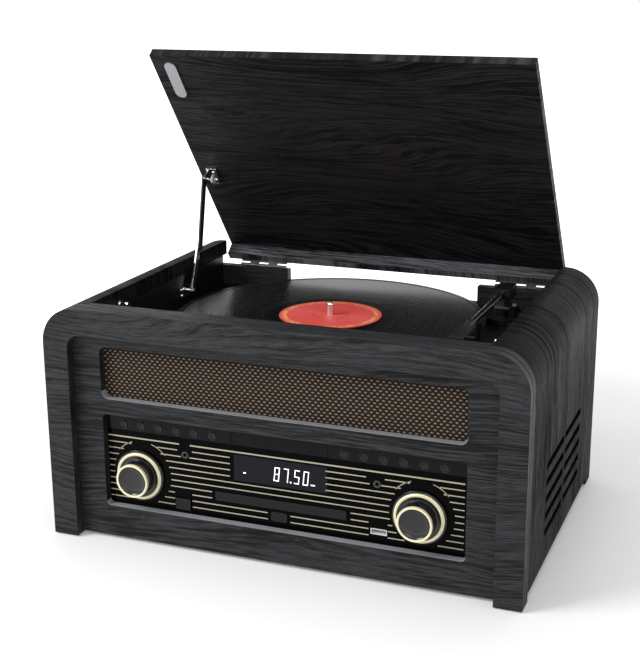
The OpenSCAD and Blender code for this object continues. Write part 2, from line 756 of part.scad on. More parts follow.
module control_board() {
    lug_z = display_z + 1;
    lug_r = 3;
    lug_x = window_half - 7.5;
    encoder_half = 7;
    low_half = 9;                              // small boards of the eject switch and the USB socket
    board_back = board_y + board_t;
    color("#1d5b34") {
        difference() {
            block(-window_half, window_half, board_y, board_back, knob_z + 3.5, strip_top - 2);
            for (x = [volume_x, tuning_x]) rod_y(x, knob_z, shaft_r + 0.5, board_y - eps, board_back + eps);
        }
        // lugs that hold the board to the fascia
        for (x = [-lug_x, -60, 60, lug_x]) rod_y(x, lug_z, lug_r, drive_y, board_y);
        // display unit
        block(3 - display_w / 2, display_w / 2 - 3, drive_y, board_y,
            display_z + 1, display_z + display_h - 1);
        for (x = [eject_x, usb_x])
            block(x - low_half, x + low_half, board_y, board_back, 36, knob_z + 4.5);
        for (x = [volume_x, tuning_x])
            block(x - 10, x + 10, board_y, board_back, knob_z - 10, knob_z - shaft_r - 0.6);
    }
    // small switches behind the buttons
    color("#b8b8b8") for (i = [0 : last_button])
        rod_y(button_x(i), button_z, switch_r, switch_top, board_y);
    color("#9a9a9a") rod_y(eject_x, eject_z, switch_r, switch_top, board_y);
    // turning encoders
    color("#888888") for (x = [volume_x, tuning_x]) difference() {
        block(x - encoder_half, x + encoder_half, drive_y + 1, board_y,
            knob_z - encoder_half, knob_z + encoder_half);
        rod_y(x, knob_z, shaft_r + run_gap, drive_y, board_y + eps);
    }
}
module front_sockets() {
    usb_wall = 0.5;
    tongue_t = 1.5;
    for (spot = [phones, aux]) color("#2a2a2a") difference() {
        union() {
            rod_y(spot[0], spot[1], socket_r - slide_gap / 3, fascia_y, drive_y);
            block(spot[0] - 6, spot[0] + 6, drive_y, board_y, spot[1] - 5.5, spot[1] + 5.5);
        }
        rod_y(spot[0], spot[1], jack_r, fascia_y - eps, board_y + eps);
    }
    color("#c8c8c8") difference() {
        block(usb_x - usb_w / 2, usb_x + usb_w / 2, fascia_y - 0.3, board_y,
            usb_z - usb_h / 2, usb_z + usb_h / 2);
        block(usb_x - usb_w / 2 + usb_wall, usb_x + usb_w / 2 - usb_wall, fascia_y - 1, board_y - 1,
            usb_z - usb_h / 2 + usb_wall, usb_z + usb_h / 2 - usb_wall);
    }
    color("white") block(usb_x - usb_w / 2 + 2, usb_x + usb_w / 2 - 2, fascia_y + 3, board_y - 0.8,
        usb_z + 0.2, usb_z + 0.2 + tongue_t);
}
module knob(x) {
    front = fascia_y - knob_reach;
    skirt_t = 3;
    ring_t = 1.5;
    ring_w = 2.6;
    ring_y = fascia_y - skirt_t - ring_t;
    cap_depth = 1.4;
    // skirt with a slope up to the wide ring
    translate([x, fascia_y - 0.5, knob_z]) rotate([90, 0, 0])
        cylinder(h = skirt_t, d1 = knob_skirt_d, d2 = knob_ring_d);
    rod_y(x, knob_z, knob_grip_d / 2 - 0.6, front + 0.6, fascia_y - skirt_t);
    difference() {
        rod_y(x, knob_z, knob_ring_d / 2, ring_y, ring_y + ring_t);
        rod_y(x, knob_z, knob_ring_d / 2 - ring_w, ring_y - eps, ring_y + ring_t + 0.01);
    }
    difference() {
        rod_y(x, knob_z, knob_grip_d / 2, front, fascia_y - 2 * skirt_t);
        rod_y(x, knob_z, knob_grip_d / 2 - ring_w, front - eps, front + cap_depth);
    }
    rod_y(x, knob_z, shaft_r, fascia_y - 1, board_y - 1);
}
module volume_knob() { color("#3a3a3c") knob(volume_x); }
module tuning_knob() { color("#3a3a3c") knob(tuning_x); }
button_out = 2.4;                              // how far a button stands in front of the fascia
button_dish = 8.6;                             // radius of the dish in its face
collar = 1;                                    // edge that keeps a button behind the fascia
plunger_r = 1.6;
module round_button(i) {
    color("#3c3d40") difference() {
        union() {
            rod_y(button_x(i), button_z, button_d / 2, fascia_y - button_out, drive_y + 0.6);
            rod_y(button_x(i), button_z, button_d / 2 + collar, drive_y + 0.2, drive_y + 1.4);
            rod_y(button_x(i), button_z, plunger_r, drive_y + 1, plunger_end);
        }
        translate([button_x(i), fascia_y - button_out - button_dish + 0.6, button_z]) sphere(r = button_dish);
    }
}
module left_button_1() { round_button(0); }
module left_button_2() { round_button(1); }
module left_button_3() { round_button(2); }
module left_button_4() { round_button(3); }
module left_button_5() { round_button(4); }
module left_button_6() { round_button(5); }
module right_button_1() { round_button(6); }
module right_button_2() { round_button(7); }
module right_button_3() { round_button(8); }
module right_button_4() { round_button(9); }
module right_button_5() { round_button(10); }
module right_button_6() { round_button(11); }
module eject_button() {
    half_eject_w = eject_w / 2;
    half_eject_h = eject_h / 2;
    color("#26272a") {
        block(eject_x - half_eject_w, eject_x + half_eject_w, fascia_y - 1.8, drive_y + 0.4,
            eject_z - half_eject_h, eject_z + half_eject_h);
        block(eject_x - half_eject_w - collar, eject_x + half_eject_w + collar, drive_y + 0.2, drive_y + 1.4,
            eject_z - half_eject_h - collar, eject_z + half_eject_h + collar);
        rod_y(eject_x, eject_z, plunger_r, drive_y + 1, plunger_end);
    }
}

// ---- disc drive
drive_low = tray_low - 8;
drive_top = drive_low + 22;
module disc_drive() {
    sheet_t = 2;
    rail_w = 6;                                // runner under each edge of the tray
    rail_z = tray_mid - tray_t / 2 - 0.5;
    front = board_y + board_t + 1;
    back = drive_y + tray_d + 22;
    stand_r = 6;
    stand_x = 55;
    color("#8f9296") {
        block(-drive_half, drive_half, front, back, drive_low, drive_low + sheet_t);
        block(-drive_half, drive_half, front, back, drive_top - sheet_t, drive_top);
        block(-drive_half, drive_half, back - sheet_t, back, drive_low, drive_top);
        for (side = [-1, 1]) {
            translate([side * (drive_half - sheet_t / 2), 0, 0])
                block(-sheet_t / 2, sheet_t / 2, drive_y, back, drive_low, drive_top);
            translate([side * (drive_half - rail_w / 2), 0, 0])
                block(-rail_w / 2, rail_w / 2, drive_y, back, rail_z - sheet_t, rail_z);
        }
        // turning hub and reading head, below the tray
        rod_z(0, disc_y, 14, drive_low, rail_z - 1);
        // stands on the bottom board
        for (x = [-stand_x, stand_x], y = [drive_y + 30, back - 20])
            rod_z(x, y, stand_r, floor_z, drive_low + eps);
    }
}
module disc_tray() {
    lip_t = 3.4;                               // front of the tray, in the fascia's window
    tray_half = tray_w / 2;
    low = tray_mid - tray_t / 2;
    disc_depth = 3;
    color("#1c1c1e") difference() {
        union() {
            block(-tray_half, tray_half, fascia_y - 0.8, fascia_y - 0.8 + lip_t, tray_low, tray_low + tray_h);
            block(1 - tray_half, tray_half - 1, fascia_y + 2, drive_y + tray_d, low, low + tray_t);
        }
        rod_z(0, disc_y, disc_d / 2, low + tray_t - disc_depth, low + tray_t + eps);
        // window for the hub and the reading head
        rod_z(0, disc_y, 19, low - eps, low + tray_t);
        block(-16, 16, disc_y, disc_y + disc_d / 2 - 8, low - eps, low + tray_t);
    }
}
module main_board() {
    board_w = 100;
    board_d = 120;
    leg = 6;
    corner = 5;                                // leg to the board's edge
    x1 = inner_x - 15;
    x0 = x1 - board_w;
    top = floor_z + leg + board_t;
    coil = [45, 40, 36];                       // mains transformer
    sink = [28, 85, 24];                       // heat sink
    tall_r = 9;                                // tall capacitors
    tall_h = 26;
    color("#1d5b34") block(x0, x1, -board_d / 2, board_d / 2, floor_z + leg, top);
    color("#c9b458") for (x = [x0 + corner, x1 - corner], y = [corner - board_d / 2, board_d / 2 - corner])
        rod_z(x, y, leg / 2, floor_z, floor_z + leg);
    color("#3a3a3a") {
        translate([x0 + 10, -board_d / 2 + 10, top]) cube(coil);
        translate([x1 - 7 - sink[0], -board_d / 2 + 15, top]) cube(sink);
        for (y = [10, 36]) rod_z(x0 + 30, y, tall_r, top, top + tall_h);
    }
}

// ---- back
terminal_w = 96;
terminal_h = 44;
terminal_x = -108;                             // left end of the plate's box
terminal_z = 60;
terminal_mid = terminal_z + terminal_h / 2;
terminal_t = 2;
phono_r = 4.1;                                 // outer shell of a phono socket
phono_pin_r = 1.6;
phono_out = 9;
phono_at = [16, 34];
inlet_at = 60;
inlet_pin_r = 1.2;
module rear_terminals() {
    lip = 5;
    root_r = phono_r - 0.6;
    face = back_y + terminal_t;
    for (dx = phono_at) color("silver") difference() {
        union() {
            rod_y(terminal_x + dx, terminal_mid, phono_r, face, back_y + phono_out);
            rod_y(terminal_x + dx, terminal_mid, root_r, back_y - 3, face);
        }
        rod_y(terminal_x + dx, terminal_mid, phono_pin_r, back_y - 1, back_y + phono_out + eps);
    }
    color("#181818") difference() {
        union() {
            block(terminal_x - lip, terminal_x + terminal_w + lip, back_y, face,
                terminal_z - lip, terminal_z + terminal_h + lip);
            block(terminal_x, terminal_x + terminal_w, back_y - 20, back_y,
                terminal_z, terminal_z + terminal_h);
        }
        for (dx = phono_at) rod_y(terminal_x + dx, terminal_mid, root_r, back_y - 3, back_y + 3);
        // two-pin mains inlet
        carry_y(back_y - 14, back_y + 3) soft_rect(terminal_x + inlet_at, terminal_mid - 4.5, 17, 9, 4.4);
    }
    color("gold") for (dx = [inlet_at + 4.5, inlet_at + 12.5])
        rod_y(terminal_x + dx, terminal_mid, inlet_pin_r, back_y - 14.5, back_y - 3);
}

// ---- lid
module lid_panel() {
    color("#2c2e30") opened() block(-lid_half, lid_half, lid_front, back_y, lid_under, cab_h);
}
module lid_rear_strip() {
    color("#3a3c3e") opened() block(-lid_half, lid_half, back_y - strip_t, back_y, strip_low, lid_under);
}
badge_w = 12;
badge_l = 45;
badge_t = 1.2;
module lid_badge() {
    color("#b9bcc0") opened() translate([-lid_half + 12, lid_front + 8, lid_under - badge_t])
        linear_extrude(badge_t) soft_rect(0, 0, badge_w, badge_l, badge_w / 2 - 0.05);
}
flap_t = 1.4;
leaf_h = 18;                                   // height of a hinge leaf from the axis
hinge_pin_r = 1.6;
knuckle_r = 3.6;
knuckle_gap = 0.15;                            // half the gap between two knuckles
knuckle_step = hinge_len / 5;
// the numbered knuckles, with the web that joins each to its leaf on the given side
module knuckles(numbers, web_low, web_high) {
    for (i = numbers) {
        x0 = -hinge_len / 2 + i * knuckle_step + knuckle_gap;
        x1 = x0 + knuckle_step - 2 * knuckle_gap;
        rod_x(hinge_y, hinge_z, knuckle_r, x0, x1);
        block(x0, x1, back_y, back_y + flap_t, web_low, web_high);
    }
}
module hinge_leaves() {
    color("#9a8a60") for (side = [-1, 1]) translate([side * hinge_x, 0, 0]) difference() {
        union() {
            knuckles([0, 2, 4], hinge_z - 5, hinge_z - 0.5);
            block(-hinge_len / 2, hinge_len / 2, back_y, back_y + flap_t,
                hinge_z - leaf_h, hinge_z - knuckle_r - 0.6);
        }
        rod_x(hinge_y, hinge_z, hinge_pin_r + run_gap, -hinge_len, hinge_len);
    }
}
module hinge_flaps() {
    color("#9a8a60") for (side = [-1, 1]) translate([side * hinge_x, 0, 0]) {
        rod_x(hinge_y, hinge_z, hinge_pin_r, -hinge_len / 2, hinge_len / 2);
        opened() {
            knuckles([1, 3], hinge_z + 0.5, hinge_z + 5);
            block(-hinge_len / 2, hinge_len / 2, back_y, back_y + flap_t,
                hinge_z + knuckle_r + 0.6, hinge_z + leaf_h);
        }
    }
}
// the closed lid comes down on the studs' collars
module lid_rest_studs() {
    stud_r = 3;
    collar_r = 4.5;
    stud_len = 10;
    y = well_y + 50;
    z = lid_under - collar_r - 0.3;
    color("silver") for (side = [0, 1]) mirror([side, 0, 0]) {
        rod_x(y, z, stud_r, well_x - stud_len, well_x);
        rod_x(y, z, collar_r, well_x - 1.5, well_x);
    }
}

// ---- folding stay: wall pivot, elbow, lid pivot
// closed place of the lid pivot, below the lid panel
lid_pin_y = back_y - 125;
lid_pin_z = lid_under - 7;
open_y = hinge_y + (lid_pin_y - hinge_y) * cos(lid_open) + (lid_pin_z - hinge_z) * sin(lid_open);
open_z = hinge_z - (lid_pin_y - hinge_y) * sin(lid_open) + (lid_pin_z - hinge_z) * cos(lid_open);
span = norm([open_y - stay_y, open_z - stay_z]);
aim = atan2(open_z - stay_z, open_y - stay_y);
elbow_in = acos((pow(stay_low_len, 2) + pow(span, 2) - pow(stay_up_len, 2)) / (2 * stay_low_len * span));
low_turn = aim - elbow_in;                     // direction of the lower arm, lid open
elbow_y = stay_y + stay_low_len * cos(low_turn);
elbow_z = stay_z + stay_low_len * sin(low_turn);
up_turn = atan2(open_z - elbow_z, open_y - elbow_y);
arm_w = 7;
arm_t = 1.6;
arm_tail = 12;                                 // lower arm beyond the elbow
upper_x = stay_x + arm_t / 2 + 0.4;            // near face of the upper arm
bracket_t = 1.5;                               // sheet of the wall bracket
module stay_wall_bracket() {
    eye_r = 6;
    tongue = 20;                               // length of the plate beyond the pivot
    tongue_half = 5;
    pin_end = stay_x + 2.6;
    head_r = 3.2;
    face = -well_x + bracket_t;
    color("#c4c6c9") {
        rod_x(stay_y, stay_z, eye_r, -well_x, face);
        block(-well_x, face, stay_y - tongue, stay_y, stay_z - tongue_half, stay_z + tongue_half);
        rod_x(stay_y, stay_z, stay_pin_r, -well_x, pin_end);
        rod_x(stay_y, stay_z, head_r, stay_x + arm_t / 2 + 0.3, pin_end);
        for (dz = [-3, 3]) rod_x(stay_y + 5 - tongue, stay_z + dz, 1.8, face, face + 0.9);
    }
}
// the two arms lie in planes beside each other, and each carries its own head of the elbow rivet
module stay_lower_arm() {
    color("#d6d8da") at_stay(stay_y, stay_z, low_turn) difference() {
        union() {
            block(stay_x - arm_t / 2, stay_x + arm_t / 2, 0, stay_low_len + arm_tail, -arm_w / 2, arm_w / 2);
            rod_x(0, 0, arm_w / 2 + 0.5, stay_x - arm_t / 2, stay_x + arm_t / 2);
            rod_x(stay_low_len, 0, 3, stay_x - arm_t / 2 - 1, stay_x + arm_t / 2);
        }
        rod_x(0, 0, stay_pin_r + run_gap, stay_x - 5, stay_x + 5);
    }
}
module stay_upper_arm() {
    color("#1a1a1b") at_stay(elbow_y, elbow_z, up_turn) difference() {
        union() {
            block(upper_x, upper_x + arm_t, 0, stay_up_len, -arm_w / 2 - 0.6, arm_w / 2 + 0.6);
            rod_x(0, 0, arm_w / 2 + 0.6, upper_x, upper_x + arm_t);
            rod_x(stay_up_len, 0, arm_w / 2 + 0.6, upper_x, upper_x + arm_t);
            rod_x(0, 0, 3, upper_x, upper_x + arm_t + 1);
        }
        rod_x(stay_up_len, 0, stay_pin_r + run_gap, stay_x - 5, stay_x + 9);
    }
}
module stay_lid_bracket() {
    cheek_x = stay_x + 4;                      // upright cheek that holds the pin
    cheek_t = 2;
    cheek_half = 5;
    plate_t = 1.4;                             // plate screwed to the lid
    plate_under = lid_under - plate_t;
    head_t = 0.9;
    color("#c4c6c9") opened() {
        rod_x(lid_pin_y, lid_pin_z, stay_pin_r, upper_x - 0.6, cheek_x + cheek_t);
        block(cheek_x, cheek_x + cheek_t, lid_pin_y - cheek_half, lid_pin_y + cheek_half,
            lid_pin_z - 4, plate_under + 0.2);
        block(cheek_x, cheek_x + 12, lid_pin_y - 8, lid_pin_y + 14, plate_under, lid_under);
        for (dy = [-2, 9]) rod_z(cheek_x + 7, lid_pin_y + dy, 2, plate_under - head_t, plate_under);
    }
}

front_frame();
left_side();
right_side();
front_panel();
back_panel();
bottom_board();
foot_pads();
cabinet_screws();
deck_moulding();
speaker_baffle();
grille_cloth();
speakers();
fascia();
button_strips();
display_window();
control_board();
front_sockets();
volume_knob();
tuning_knob();
left_button_1();
left_button_2();
left_button_3();
left_button_4();
left_button_5();
left_button_6();
right_button_1();
right_button_2();
right_button_3();
right_button_4();
right_button_5();
right_button_6();
eject_button();
disc_drive();
disc_tray();
main_board();
rear_terminals();
platter_motor();
motor_pulley();
drive_belt();
platter_spindle();
platter();
slip_mat();
record();
tonearm_base();
tonearm_gimbal();
tonearm_tube();
headshell();
counterweight();
cue_lever();
speed_switch();
lid_panel();
lid_rear_strip();
lid_badge();
hinge_leaves();
hinge_flaps();
lid_rest_studs();
stay_wall_bracket();
stay_lower_arm();
stay_upper_arm();
stay_lid_bracket();
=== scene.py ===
# Looks of the table-top music centre: veneer, cloth, fascia print, knobs, record and metal.
# Metres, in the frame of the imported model: front faces -Y, +Z up.
import math

import bpy
import bmesh
from mathutils import Matrix, Vector


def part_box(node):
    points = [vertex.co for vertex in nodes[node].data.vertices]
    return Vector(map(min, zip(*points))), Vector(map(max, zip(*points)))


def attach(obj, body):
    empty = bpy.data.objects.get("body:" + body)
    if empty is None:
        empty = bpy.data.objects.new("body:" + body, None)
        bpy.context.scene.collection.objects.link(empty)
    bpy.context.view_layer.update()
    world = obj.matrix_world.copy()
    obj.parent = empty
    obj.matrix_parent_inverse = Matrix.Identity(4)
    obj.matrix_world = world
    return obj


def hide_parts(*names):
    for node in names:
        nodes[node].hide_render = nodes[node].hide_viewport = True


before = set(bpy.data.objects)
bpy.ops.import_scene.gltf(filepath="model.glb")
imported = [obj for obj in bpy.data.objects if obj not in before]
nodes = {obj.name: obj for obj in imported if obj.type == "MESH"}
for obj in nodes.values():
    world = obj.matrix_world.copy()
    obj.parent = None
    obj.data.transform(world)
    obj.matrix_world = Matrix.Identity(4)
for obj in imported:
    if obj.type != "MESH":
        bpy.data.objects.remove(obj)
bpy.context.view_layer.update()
MM = 0.001

# ---- places taken from the frame
HALF_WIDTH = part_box("front_frame")[1].x
PANEL_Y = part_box("front_panel")[0].y
FASCIA_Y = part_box("fascia")[0].y
record_lo, record_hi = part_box("record")
TABLE_Z = 0.0
SPINDLE = (record_lo + record_hi) / 2
LID_OPEN = math.radians(51.5)
VINYL_R = (record_hi.x - record_lo.x) / 2
BUTTONS = [f"{side}_button_{i}" for side in ("left", "right") for i in range(1, 7)]
PRINT_BACK = FASCIA_Y - 0.02 * MM       # print and plates stand this far off the fascia


# ---- material tools
class Graph:
    """A material and its nodes."""

    def __init__(self, name, colour=(0.8, 0.8, 0.8), rough=0.5, metal=0.0):
        self.mat = bpy.data.materials.new(name)
        self.mat.use_nodes = True
        self.tree = self.mat.node_tree
        self.shader = self.tree.nodes["Principled BSDF"]
        self.shader.inputs["Base Color"].default_value = (*colour, 1)
        self.shader.inputs["Roughness"].default_value = rough
        self.shader.inputs["Metallic"].default_value = metal

    def node(self, kind, **values):
        made = self.tree.nodes.new(kind)
        for key, value in values.items():
            setattr(made, key, value)
        return made

    def plug(self, socket, value):
        if isinstance(value, bpy.types.NodeSocket):
            self.tree.links.new(value, socket)
        else:
            socket.default_value = value

    def place(self):
        return self.node("ShaderNodeTexCoord").outputs["Object"]

    def math(self, operation, a, b=0.0, clamp=False):
        made = self.node("ShaderNodeMath", operation=operation, use_clamp=clamp)
        self.plug(made.inputs[0], a)
        self.plug(made.inputs[1], b)
        return made.outputs[0]

    def dot(self, vector, direction):
        made = self.node("ShaderNodeVectorMath", operation="DOT_PRODUCT")
        self.plug(made.inputs[0], vector)
        made.inputs[1].default_value = direction
        return made.outputs["Value"]

    def vector(self, x, y, z):
        made = self.node("ShaderNodeCombineXYZ")
        for socket, value in zip(made.inputs, (x, y, z)):
            self.plug(socket, value)
        return made.outputs[0]

    def parts(self, vector):
        made = self.node("ShaderNodeSeparateXYZ")
        self.plug(made.inputs[0], vector)
        return made.outputs

    def noise(self, vector, scale=1.0, detail=2.0, rough=0.5):
        made = self.node("ShaderNodeTexNoise")
        self.plug(made.inputs["Vector"], vector)
        made.inputs["Scale"].default_value = scale
        made.inputs["Detail"].default_value = detail
        made.inputs["Roughness"].default_value = rough
        return made.outputs["Fac"]

    def ramp(self, value, *stops):
        """Colour ramp; each stop is a place and a linear colour or a grey level."""
        made = self.node("ShaderNodeValToRGB")
        self.plug(made.inputs[0], value)
        points = made.color_ramp.elements
        while len(points) < len(stops):
            points.new(0.5)
        for point, (place, colour) in zip(points, stops):
            point.position = place
            point.color = (*colour, 1) if isinstance(colour, tuple) else (colour, colour, colour, 1)
        return made.outputs[0]

    def mix(self, factor, a, b):
        made = self.node("ShaderNodeMix", data_type="RGBA")
        self.plug(made.inputs["Factor"], factor)
        for socket, value in ((made.inputs[6], a), (made.inputs[7], b)):
            self.plug(socket, (*value, 1) if isinstance(value, tuple) else value)
        return made.outputs[2]

    def paint(self, value):
        self.plug(self.shader.inputs["Base Color"], value)

    def rough(self, value):
        self.plug(self.shader.inputs["Roughness"], value)

    def bump(self, height, strength=0.3, depth=0.3 * MM, edge=0.0):
        made = self.node("ShaderNodeBump")
        made.inputs["Strength"].default_value = strength
        made.inputs["Distance"].default_value = depth
        self.plug(made.inputs["Height"], height)
        if edge:
            self.plug(made.inputs["Normal"], self.round_edges(edge))
        self.plug(self.shader.inputs["Normal"], made.outputs[0])

    def round_edges(self, radius):
        made = self.node("ShaderNodeBevel", samples=4)
        made.inputs["Radius"].default_value = radius
        return made.outputs[0]


def dress(name, material):
    """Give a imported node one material."""
    slots = nodes[name].data.materials
    slots.clear()
    slots.append(material)


# ---- materials
RING_STEP = 5.2 * MM
RING_UNEVEN = 9.0               # rings that the uneven wave shifts a place by, at most
RING_OFFSET = 50.0              # keeps the ring count positive
# the cut slots are painted near black: their faces are black, and the near black also paints the shade
# deep inside them
VENT_SKIN = 0.7 * MM            # inside this skin and under this height a side wall is a cut slot
VENT_TOP = 130 * MM
SLOW_DRIFT = 0.085              # metres that the growth rings wander
MID_DRIFT = 0.007
# each layer of the figure: cycles per metre along and across the grain, and its own seed
SLOW_WAVE = (2.6, 8.0, 0)
MID_WAVE = (11.0, 34.0, 3)
UNEVEN_WAVE = (26.0, 7)         # across the grain only
LONG_PORES = (16.0, 420.0, 11)
SHORT_PORES = (60.0, 1300.0, 13)
PATCHES = (5.0, 22.0, 17)
VENEER_TONES = ((0.0012, 0.0013, 0.0016), (0.0085, 0.0090, 0.0100), (0.036, 0.038, 0.041))
# near black of the slots' cut faces, also painted shade deep in the slots
SLOT_BLACK_AND_SHADE = (0.0004, 0.0004, 0.0004)


def veneer(name, across, sides=None, seed=0.0, shade=1.0, wander=1.0, gloss=0.2, vents=False):
    """Open-grained black veneer. The grain runs square to across; sides is for faces seen end on.
    The shade factor scales the tones as painted light and shade, each part lighter or darker for
    how the light falls on it. The slot flag paints the cut faces inside the slots of a side wall near
    black: they are black, and the near black also paints the shade deep in the slots."""
    g = Graph(name)
    place = g.place()
    run = g.dot(place, (1, 0, 0))
    height = g.dot(place, across)
    if sides:
        normal = g.node("ShaderNodeNewGeometry").outputs["True Normal"]
        facing = g.math("GREATER_THAN", g.math("ABSOLUTE", g.dot(normal, (0, 1, 0))), 0.6)
        turned = g.math("SUBTRACT", 1.0, facing)
        height = g.math("ADD", g.math("MULTIPLY", height, facing),
                        g.math("MULTIPLY", g.dot(place, sides), turned))
        run = g.math("ADD", run, g.math("MULTIPLY", g.dot(place, (0, 0, 1)), turned))

    def layer(wave, level, detail, rough=0.5):
        along, over, own_seed = wave
        return g.noise(g.vector(g.math("MULTIPLY", run, along), g.math("MULTIPLY", level, over),
                                seed + own_seed), detail=detail, rough=rough)

    def drift(wave, size):
        return g.math("MULTIPLY", g.math("SUBTRACT", wave, 0.5), size * wander)

    # slow wander of the growth rings, with tall arches here and there
    moved = g.math("ADD", height, drift(layer(SLOW_WAVE, height, 1), SLOW_DRIFT))
    moved = g.math("ADD", moved, drift(layer(MID_WAVE, height, 2), MID_DRIFT))
    # rings of uneven width, each darkening to a sharp edge
    over, own_seed = UNEVEN_WAVE
    uneven = g.noise(g.vector(g.math("MULTIPLY", moved, over), seed + own_seed, 0.0), detail=2)
    ring = g.math("ADD", g.math("DIVIDE", moved, RING_STEP), g.math("MULTIPLY", uneven, RING_UNEVEN))
    part = g.math("FRACT", g.math("ADD", ring, RING_OFFSET))
    edge = g.math("POWER", part, 3.0)
    # open pores: dark strokes along the grain, long ones and short ones
    long = g.ramp(layer(LONG_PORES, moved, 4, rough=0.62), (0.45, 0.0), (0.60, 1.0))
    short = g.ramp(layer(SHORT_PORES, moved, 3, rough=0.7), (0.46, 0.0), (0.58, 1.0))
    rich = g.ramp(layer(PATCHES, moved, 2), (0.34, 0.25), (0.66, 1.0))
    dark = g.math("ADD", g.math("MULTIPLY", long, 0.74), g.math("MULTIPLY", edge, 0.40))
    dark = g.math("MULTIPLY", dark, rich)
    dark = g.math("ADD", dark, g.math("MULTIPLY", short, 0.34))
    tone = g.math("SUBTRACT", 0.92, dark, clamp=True)
    # painted light and shade: the tones are scaled by shade for each part, lighter or darker for how the
    # light falls on it
    low, mid_tone, high = [tuple(shade * c for c in level) for level in VENEER_TONES]
    colour = g.ramp(tone, (0.10, low), (0.45, mid_tone), (0.90, high))
    # painted shade in the slots: their black cut faces are made near black, as dark as the shade deep
    # inside
    if vents:
        x, _, z = g.parts(place)
        inside = g.math("LESS_THAN", g.math("ABSOLUTE", x), HALF_WIDTH - VENT_SKIN)
        inside = g.math("MULTIPLY", inside, g.math("LESS_THAN", z, VENT_TOP))
        colour = g.mix(inside, colour, SLOT_BLACK_AND_SHADE)
    g.paint(colour)
    g.rough(g.ramp(tone, (0.15, 0.72), (0.80, 0.42)))
    g.bump(tone, strength=0.6, depth=0.3 * MM, edge=1.2 * MM)
    g.shader.inputs["Specular IOR Level"].default_value = gloss
    return g.mat


def plain(name, colour, rough, metal=0.0, speck=0.0, edge=0.0, spec=0.5):
    """Moulded plastic or metal with a fine unevenness in its gloss."""
    g = Graph(name, colour, rough, metal)
    grain = g.noise(g.place(), scale=900.0, detail=3)
    cloud = g.noise(g.place(), scale=35.0, detail=2)
    both = g.math("ADD", g.math("MULTIPLY", grain, 0.5), g.math("MULTIPLY", cloud, 0.5))
    g.rough(g.ramp(both, (0.3, max(0.02, rough - 0.06)), (0.7, rough + 0.08)))
    dark = tuple(c * 0.8 for c in colour)
    g.paint(g.mix(cloud, dark, tuple(min(1.0, c * 1.15) for c in colour)))
    if speck or edge:
        g.bump(grain, strength=max(speck, 0.02), depth=0.1 * MM, edge=edge)
    g.shader.inputs["Specular IOR Level"].default_value = spec
    return g.mat


def brushed(name, colour, rough, along=(1, 0, 0)):
    """Drawn or brushed metal, its fine lines square to along."""
    g = Graph(name, colour, rough, 1.0)
    place = g.place()
    run = g.math("MULTIPLY", g.dot(place, along), 4000.0)
    lines = g.noise(g.vector(run, g.dot(place, (0, 1, 1)), 0.0), detail=3)
    g.rough(g.ramp(lines, (0.3, max(0.03, rough - 0.07)), (0.7, rough + 0.12)))
    g.paint(g.mix(lines, tuple(c * 0.82 for c in colour), colour))
    return g.mat


CLOTH_STEP_X = 5.35 * MM
CLOTH_STEP_Z = 5.7 * MM
FLOAT_HALF_X = 1.50 * MM        # half length and half height of a pale float
FLOAT_HALF_Z = 0.90 * MM
CELL_OFFSET = 40                # keeps the cell count positive


def grille_cloth():
    """Dark brown basket weave with pale floats in staggered rows."""
    g = Graph("grille_cloth", rough=0.85)
    x, _, z = g.parts(g.place())

    def from_middle(along, step, half, shift):
        """Distance from the middle of its cell, squared, where 1 is the float's edge."""
        cell = g.math("FRACT", g.math("ADD", g.math("DIVIDE", along, step), CELL_OFFSET + shift))
        off = g.math("MULTIPLY", g.math("SUBTRACT", cell, 0.5), step / half)
        return g.math("MULTIPLY", off, off)

    def floats(shift):
        far = g.math("ADD", from_middle(x, CLOTH_STEP_X, FLOAT_HALF_X, shift),
                     from_middle(z, CLOTH_STEP_Z, FLOAT_HALF_Z, shift))
        return g.math("SUBTRACT", 1.0, far, clamp=True)

    float_yarn = g.math("MAXIMUM", floats(0.0), floats(0.5))
    yarn = g.noise(g.vector(g.math("MULTIPLY", x, 900.0), 0.0, g.math("MULTIPLY", z, 2600.0)), detail=2)
    ground = g.mix(yarn, (0.0040, 0.0019, 0.0007), (0.013, 0.0055, 0.0018))
    pale = g.mix(yarn, (0.125, 0.092, 0.062), (0.31, 0.245, 0.18))
    g.paint(g.mix(g.ramp(float_yarn, (0.05, 0.0), (0.5, 1.0)), ground, pale))
    g.bump(g.math("ADD", float_yarn, g.math("MULTIPLY", yarn, 0.25)), strength=0.8, depth=0.5 * MM)
    g.shader.inputs["Specular IOR Level"].default_value = 0.25
    return g.mat


LABEL_R = 50 * MM
LABEL_RING = 45 * MM            # orange ring: its middle and half its width
LABEL_RING_HALF = 2.4 * MM
# the pressed ring is painted darker red as the shade in its crease
PRESS_RING = 17 * MM            # pressed ring round the hole
PRESS_RING_HALF = 0.35 * MM
TRACK_WAVE = 210.0              # radians per metre: six tracks
GROOVE_WAVE = 16000.0
RUN_OUT = 0.40                  # smooth inside this share of the radius
LEAD_IN = 0.965                 # and outside this one


